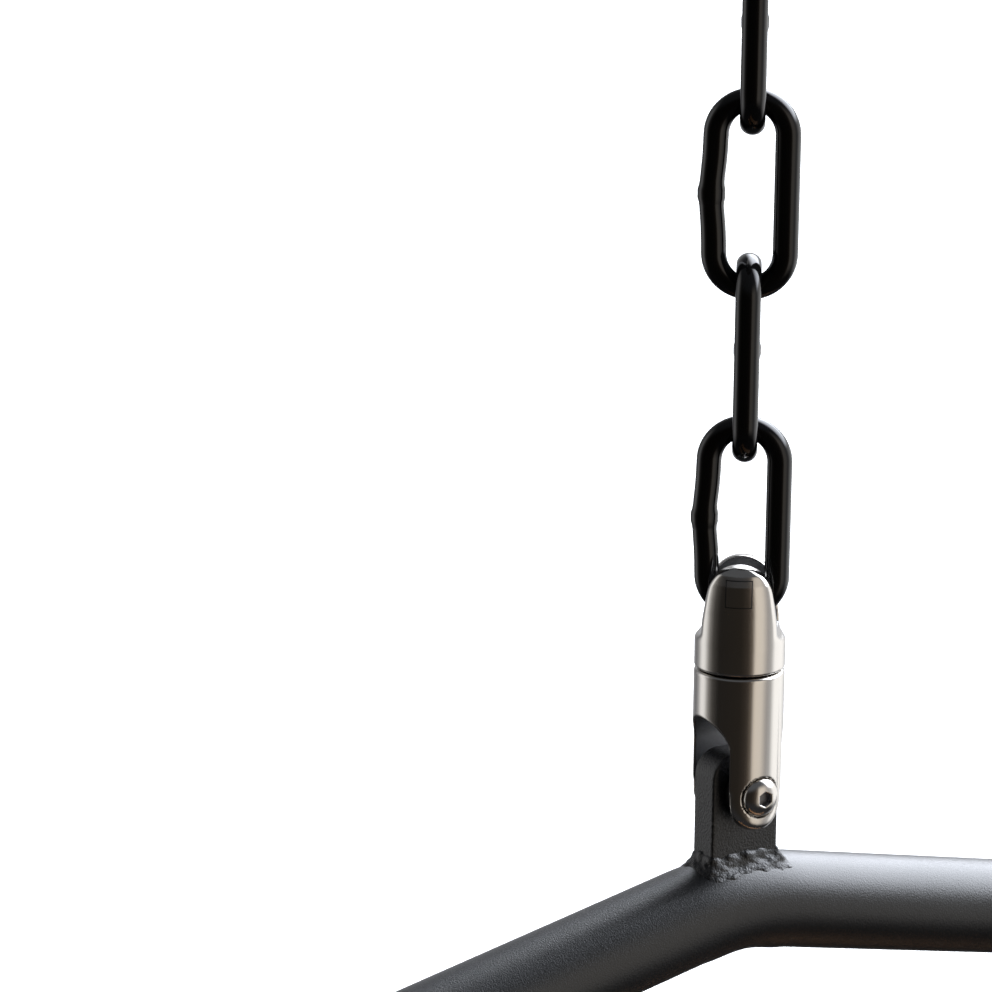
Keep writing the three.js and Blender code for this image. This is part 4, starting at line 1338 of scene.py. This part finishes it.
def camera_axes():
    """The camera's right, up and back directions."""
    a, e = CAMERA_AZIMUTH, CAMERA_ELEVATION
    back = Vector((math.sin(a) * math.cos(e), -math.cos(a) * math.cos(e), math.sin(e)))
    right = (-back).cross(Vector((0, 0, 1))).normalized()
    up = right.cross(-back)
    turn = Matrix.Rotation(CAMERA_ROLL, 3, back)
    return turn @ right, turn @ up, back


class SWING_OT_stage(bpy.types.Operator):
    """Set up the camera, the pale floor and the soft studio light"""

    bl_idname = "swing.stage"
    bl_label = "Stage"

    def execute(self, context):
        scene = context.scene
        scene.view_settings.view_transform = "Standard"
        right, up, back = camera_axes()
        lens = bpy.data.cameras.new("camera")
        lens.sensor_width = SENSOR
        lens.lens = SENSOR * FOCAL_PIXELS / FRAME_PIXELS
        lens.clip_start, lens.clip_end = 0.05, 200
        camera = bpy.data.objects.new("camera", lens)
        scene.collection.objects.link(camera)
        place = CLEVIS + back * CAMERA_DISTANCE + right * CAMERA_OFFSET[0] + up * CAMERA_OFFSET[1]
        facing = Matrix((right, up, back)).transposed().to_4x4()
        camera.matrix_world = Matrix.Translation(place) @ facing
        scene.camera = camera
        self.floor(scene)
        self.surroundings(scene)
        self.lamps(scene)
        return {"FINISHED"}

    def floor(self, scene):
        """A wide pale floor under the swing that lights nothing."""
        half, level = 60, CAD_LOW.z - 0.42
        signs = ((-1, -1), (1, -1), (1, 1), (-1, 1))
        corners = [(a * half, b * half, level) for a, b in signs]
        shader = Shader("pale_floor", Roughness=0.9, Base_Color=(0.9, 0.9, 0.9, 1))
        shader.surface.inputs["Emission Color"].default_value = (1, 1, 1, 1)
        shader.surface.inputs["Emission Strength"].default_value = 0.55
        floor = piece("floor", corners, [(0, 1, 2, 3)], shader.material, False)
        floor.visible_diffuse = floor.visible_glossy = False

    def surroundings(self, scene):
        """A white studio behind and beside the swing, and a dim one where the viewer stands."""
        world = bpy.data.worlds.new("studio")
        scene.world = world
        world.use_nodes = True
        tree = world.node_tree
        tree.nodes.clear()
        shader = Shader.on(tree)
        output = tree.nodes.new("ShaderNodeOutputWorld")
        direction = shader.node("ShaderNodeTexCoord", {}, {}, "Generated")
        split = tree.nodes.new("ShaderNodeSeparateXYZ")
        turned_to = shader.node(
            "ShaderNodeVectorRotate", {"rotation_type": "Z_AXIS"},
            {"Vector": direction, "Angle": -CAMERA_AZIMUTH},
        )
        tree.links.new(turned_to.socket, split.inputs[0])
        across, depth, height = (Term(shader, split.outputs[k]) for k in range(3))
        toward = depth * -1
        bearing = shader.node("ShaderNodeMath", {"operation": "ARCTAN2"}, {0: across, 1: toward})
        around = bearing * (0.5 / math.pi) + 0.5
        walls = shader.ramp(around, WALL_STOPS)
        soft_box = across * SOFT_BOX[0] + depth * SOFT_BOX[1] + height * SOFT_BOX[2]
        def layer(amount, under, over):
            inputs = {0: amount, 6: under, 7: (*over, 1)}
            return shader.node("ShaderNodeMix", {"data_type": "RGBA"}, inputs, 2)

        above = self.step(shader, height, 0.16, 0.38)
        dim = layer(self.step(shader, height, 0.30, 0.70), walls, DIM_CEILING)
        box = self.step(shader, soft_box, 0.62, 0.90) * above
        sky = layer(box, dim, SKY)
        room = layer(self.step(shader, height, -0.3, -0.65), sky, DARK_FLOOR)
        lit = tree.nodes.new("ShaderNodeBackground")
        plain = tree.nodes.new("ShaderNodeBackground")
        plain.inputs["Color"].default_value = (1, 1, 1, 1)
        shader.feed(lit.inputs["Color"], room)
        seen = shader.node("ShaderNodeLightPath", {}, {}, "Is Camera Ray")
        chosen = shader.node("ShaderNodeMixShader", {}, {0: seen})
        mixer = chosen.socket.node
        tree.links.new(lit.outputs[0], mixer.inputs[1])
        tree.links.new(plain.outputs[0], mixer.inputs[2])
        tree.links.new(chosen.socket, output.inputs["Surface"])

    def step(self, shader, value, start, end):
        """A smooth step from 0 at the start to 1 at the end."""
        settings = {"interpolation_type": "SMOOTHSTEP"}
        inputs = {"Value": value, "From Min": start, "From Max": end}
        return shader.node("ShaderNodeMapRange", settings, inputs)

    def lamps(self, scene):
        """A soft box overhead, on the far side of the swing."""
        for name, azimuth, elevation, distance, size, power in LAMPS:
            a, e = CAMERA_AZIMUTH + math.radians(azimuth), math.radians(elevation)
            away = Vector((math.sin(a) * math.cos(e), -math.cos(a) * math.cos(e), math.sin(e)))
            light = bpy.data.lights.new(name, "AREA")
            light.shape = "RECTANGLE"
            light.size, light.size_y = size
            light.energy = power
            lamp = bpy.data.objects.new(name, light)
            scene.collection.objects.link(lamp)
            target = CLEVIS + Vector((0, 0, -0.05))
            facing = away.to_track_quat("Z", "Y").to_matrix().to_4x4()
            lamp.matrix_world = Matrix.Translation(target + away * distance) @ facing


# Brightness of the studio walls by bearing: 0 and 1 are behind the swing, 0.5 is the viewer,
# under 0.5 is the viewer's left
WALL_STOPS = [
    (0.00, (0.55, 0.56, 0.58)),
    (0.10, (0.20, 0.20, 0.21)),
    (0.145, (0.45, 0.45, 0.46)),
    (0.185, (1.20, 1.20, 1.20)),
    (0.215, (1.15, 1.15, 1.15)),
    (0.255, (0.30, 0.29, 0.28)),
    (0.29, (0.08, 0.075, 0.07)),
    (0.34, (0.02, 0.018, 0.016)),
    (0.50, (0.025, 0.021, 0.017)),
    (0.55, (0.05, 0.04, 0.032)),
    (0.58, (0.16, 0.13, 0.105)),
    (0.605, (1.00, 0.91, 0.80)),
    (0.655, (0.95, 0.88, 0.79)),
    (0.70, (0.48, 0.46, 0.45)),
    (0.735, (0.60, 0.60, 0.60)),
    (0.77, (1.50, 1.50, 1.50)),
    (0.86, (1.50, 1.50, 1.50)),
    (0.93, (0.75, 0.76, 0.78)),
    (1.00, (0.55, 0.56, 0.58)),
]
# The big soft box in the surroundings: its direction as right, away and up from the viewer. SKY is
# its brightness, and the two colours before it are what the ceiling and the ground show elsewhere
SOFT_BOX = (0.70, 0.60, 0.40)
DIM_CEILING = (0.10, 0.105, 0.115)
DARK_FLOOR = (0.03, 0.03, 0.032)
SKY = (8.6, 9.0, 9.8)
LAMPS = [
    ("overhead_box", 150, 62, 2.4, (1.8, 1.2), 5),
]


# ---------------------------------------------------------------------- add-on

class SWING_PT_pieces(bpy.types.Panel):
    """Lists the swing's pieces and their settings"""

    bl_idname = "SWING_PT_pieces"
    bl_label = "Porch swing"
    bl_space_type = "VIEW_3D"
    bl_region_type = "UI"
    bl_category = "Swing"

    def draw(self, context):
        layout = self.layout
        for group in (context.scene.swing_finish, context.scene.swing_detail):
            for name in group.__annotations__:
                layout.prop(group, name)
        for operator in OPERATORS:
            layout.operator(operator.bl_idname)


OPERATORS = (
    SWING_OT_stage, SWING_OT_chain, SWING_OT_swivel, SWING_OT_lug, SWING_OT_hoop, SWING_OT_bench,
    SWING_OT_ceiling, SWING_OT_kept,
)
CLASSES = (SwingFinish, SwingDetail, *OPERATORS, SWING_PT_pieces)


def register():
    """Adds the settings, the operators and the panel."""
    for cls in CLASSES:
        bpy.utils.register_class(cls)
    bpy.types.Scene.swing_finish = PointerProperty(type=SwingFinish)
    bpy.types.Scene.swing_detail = PointerProperty(type=SwingDetail)


def unregister():
    """Takes them away again."""
    del bpy.types.Scene.swing_detail
    del bpy.types.Scene.swing_finish
    for cls in reversed(CLASSES):
        bpy.utils.unregister_class(cls)


def main():
    """Builds every piece in order."""
    register()
    bpy.ops.swing.stage()
    bpy.ops.swing.chain()
    bpy.ops.swing.swivel()
    bpy.ops.swing.lug()
    bpy.ops.swing.hoop()
    bpy.ops.swing.bench()
    bpy.ops.swing.ceiling()
    bpy.ops.swing.kept()


if __name__ == "__main__":
    main()
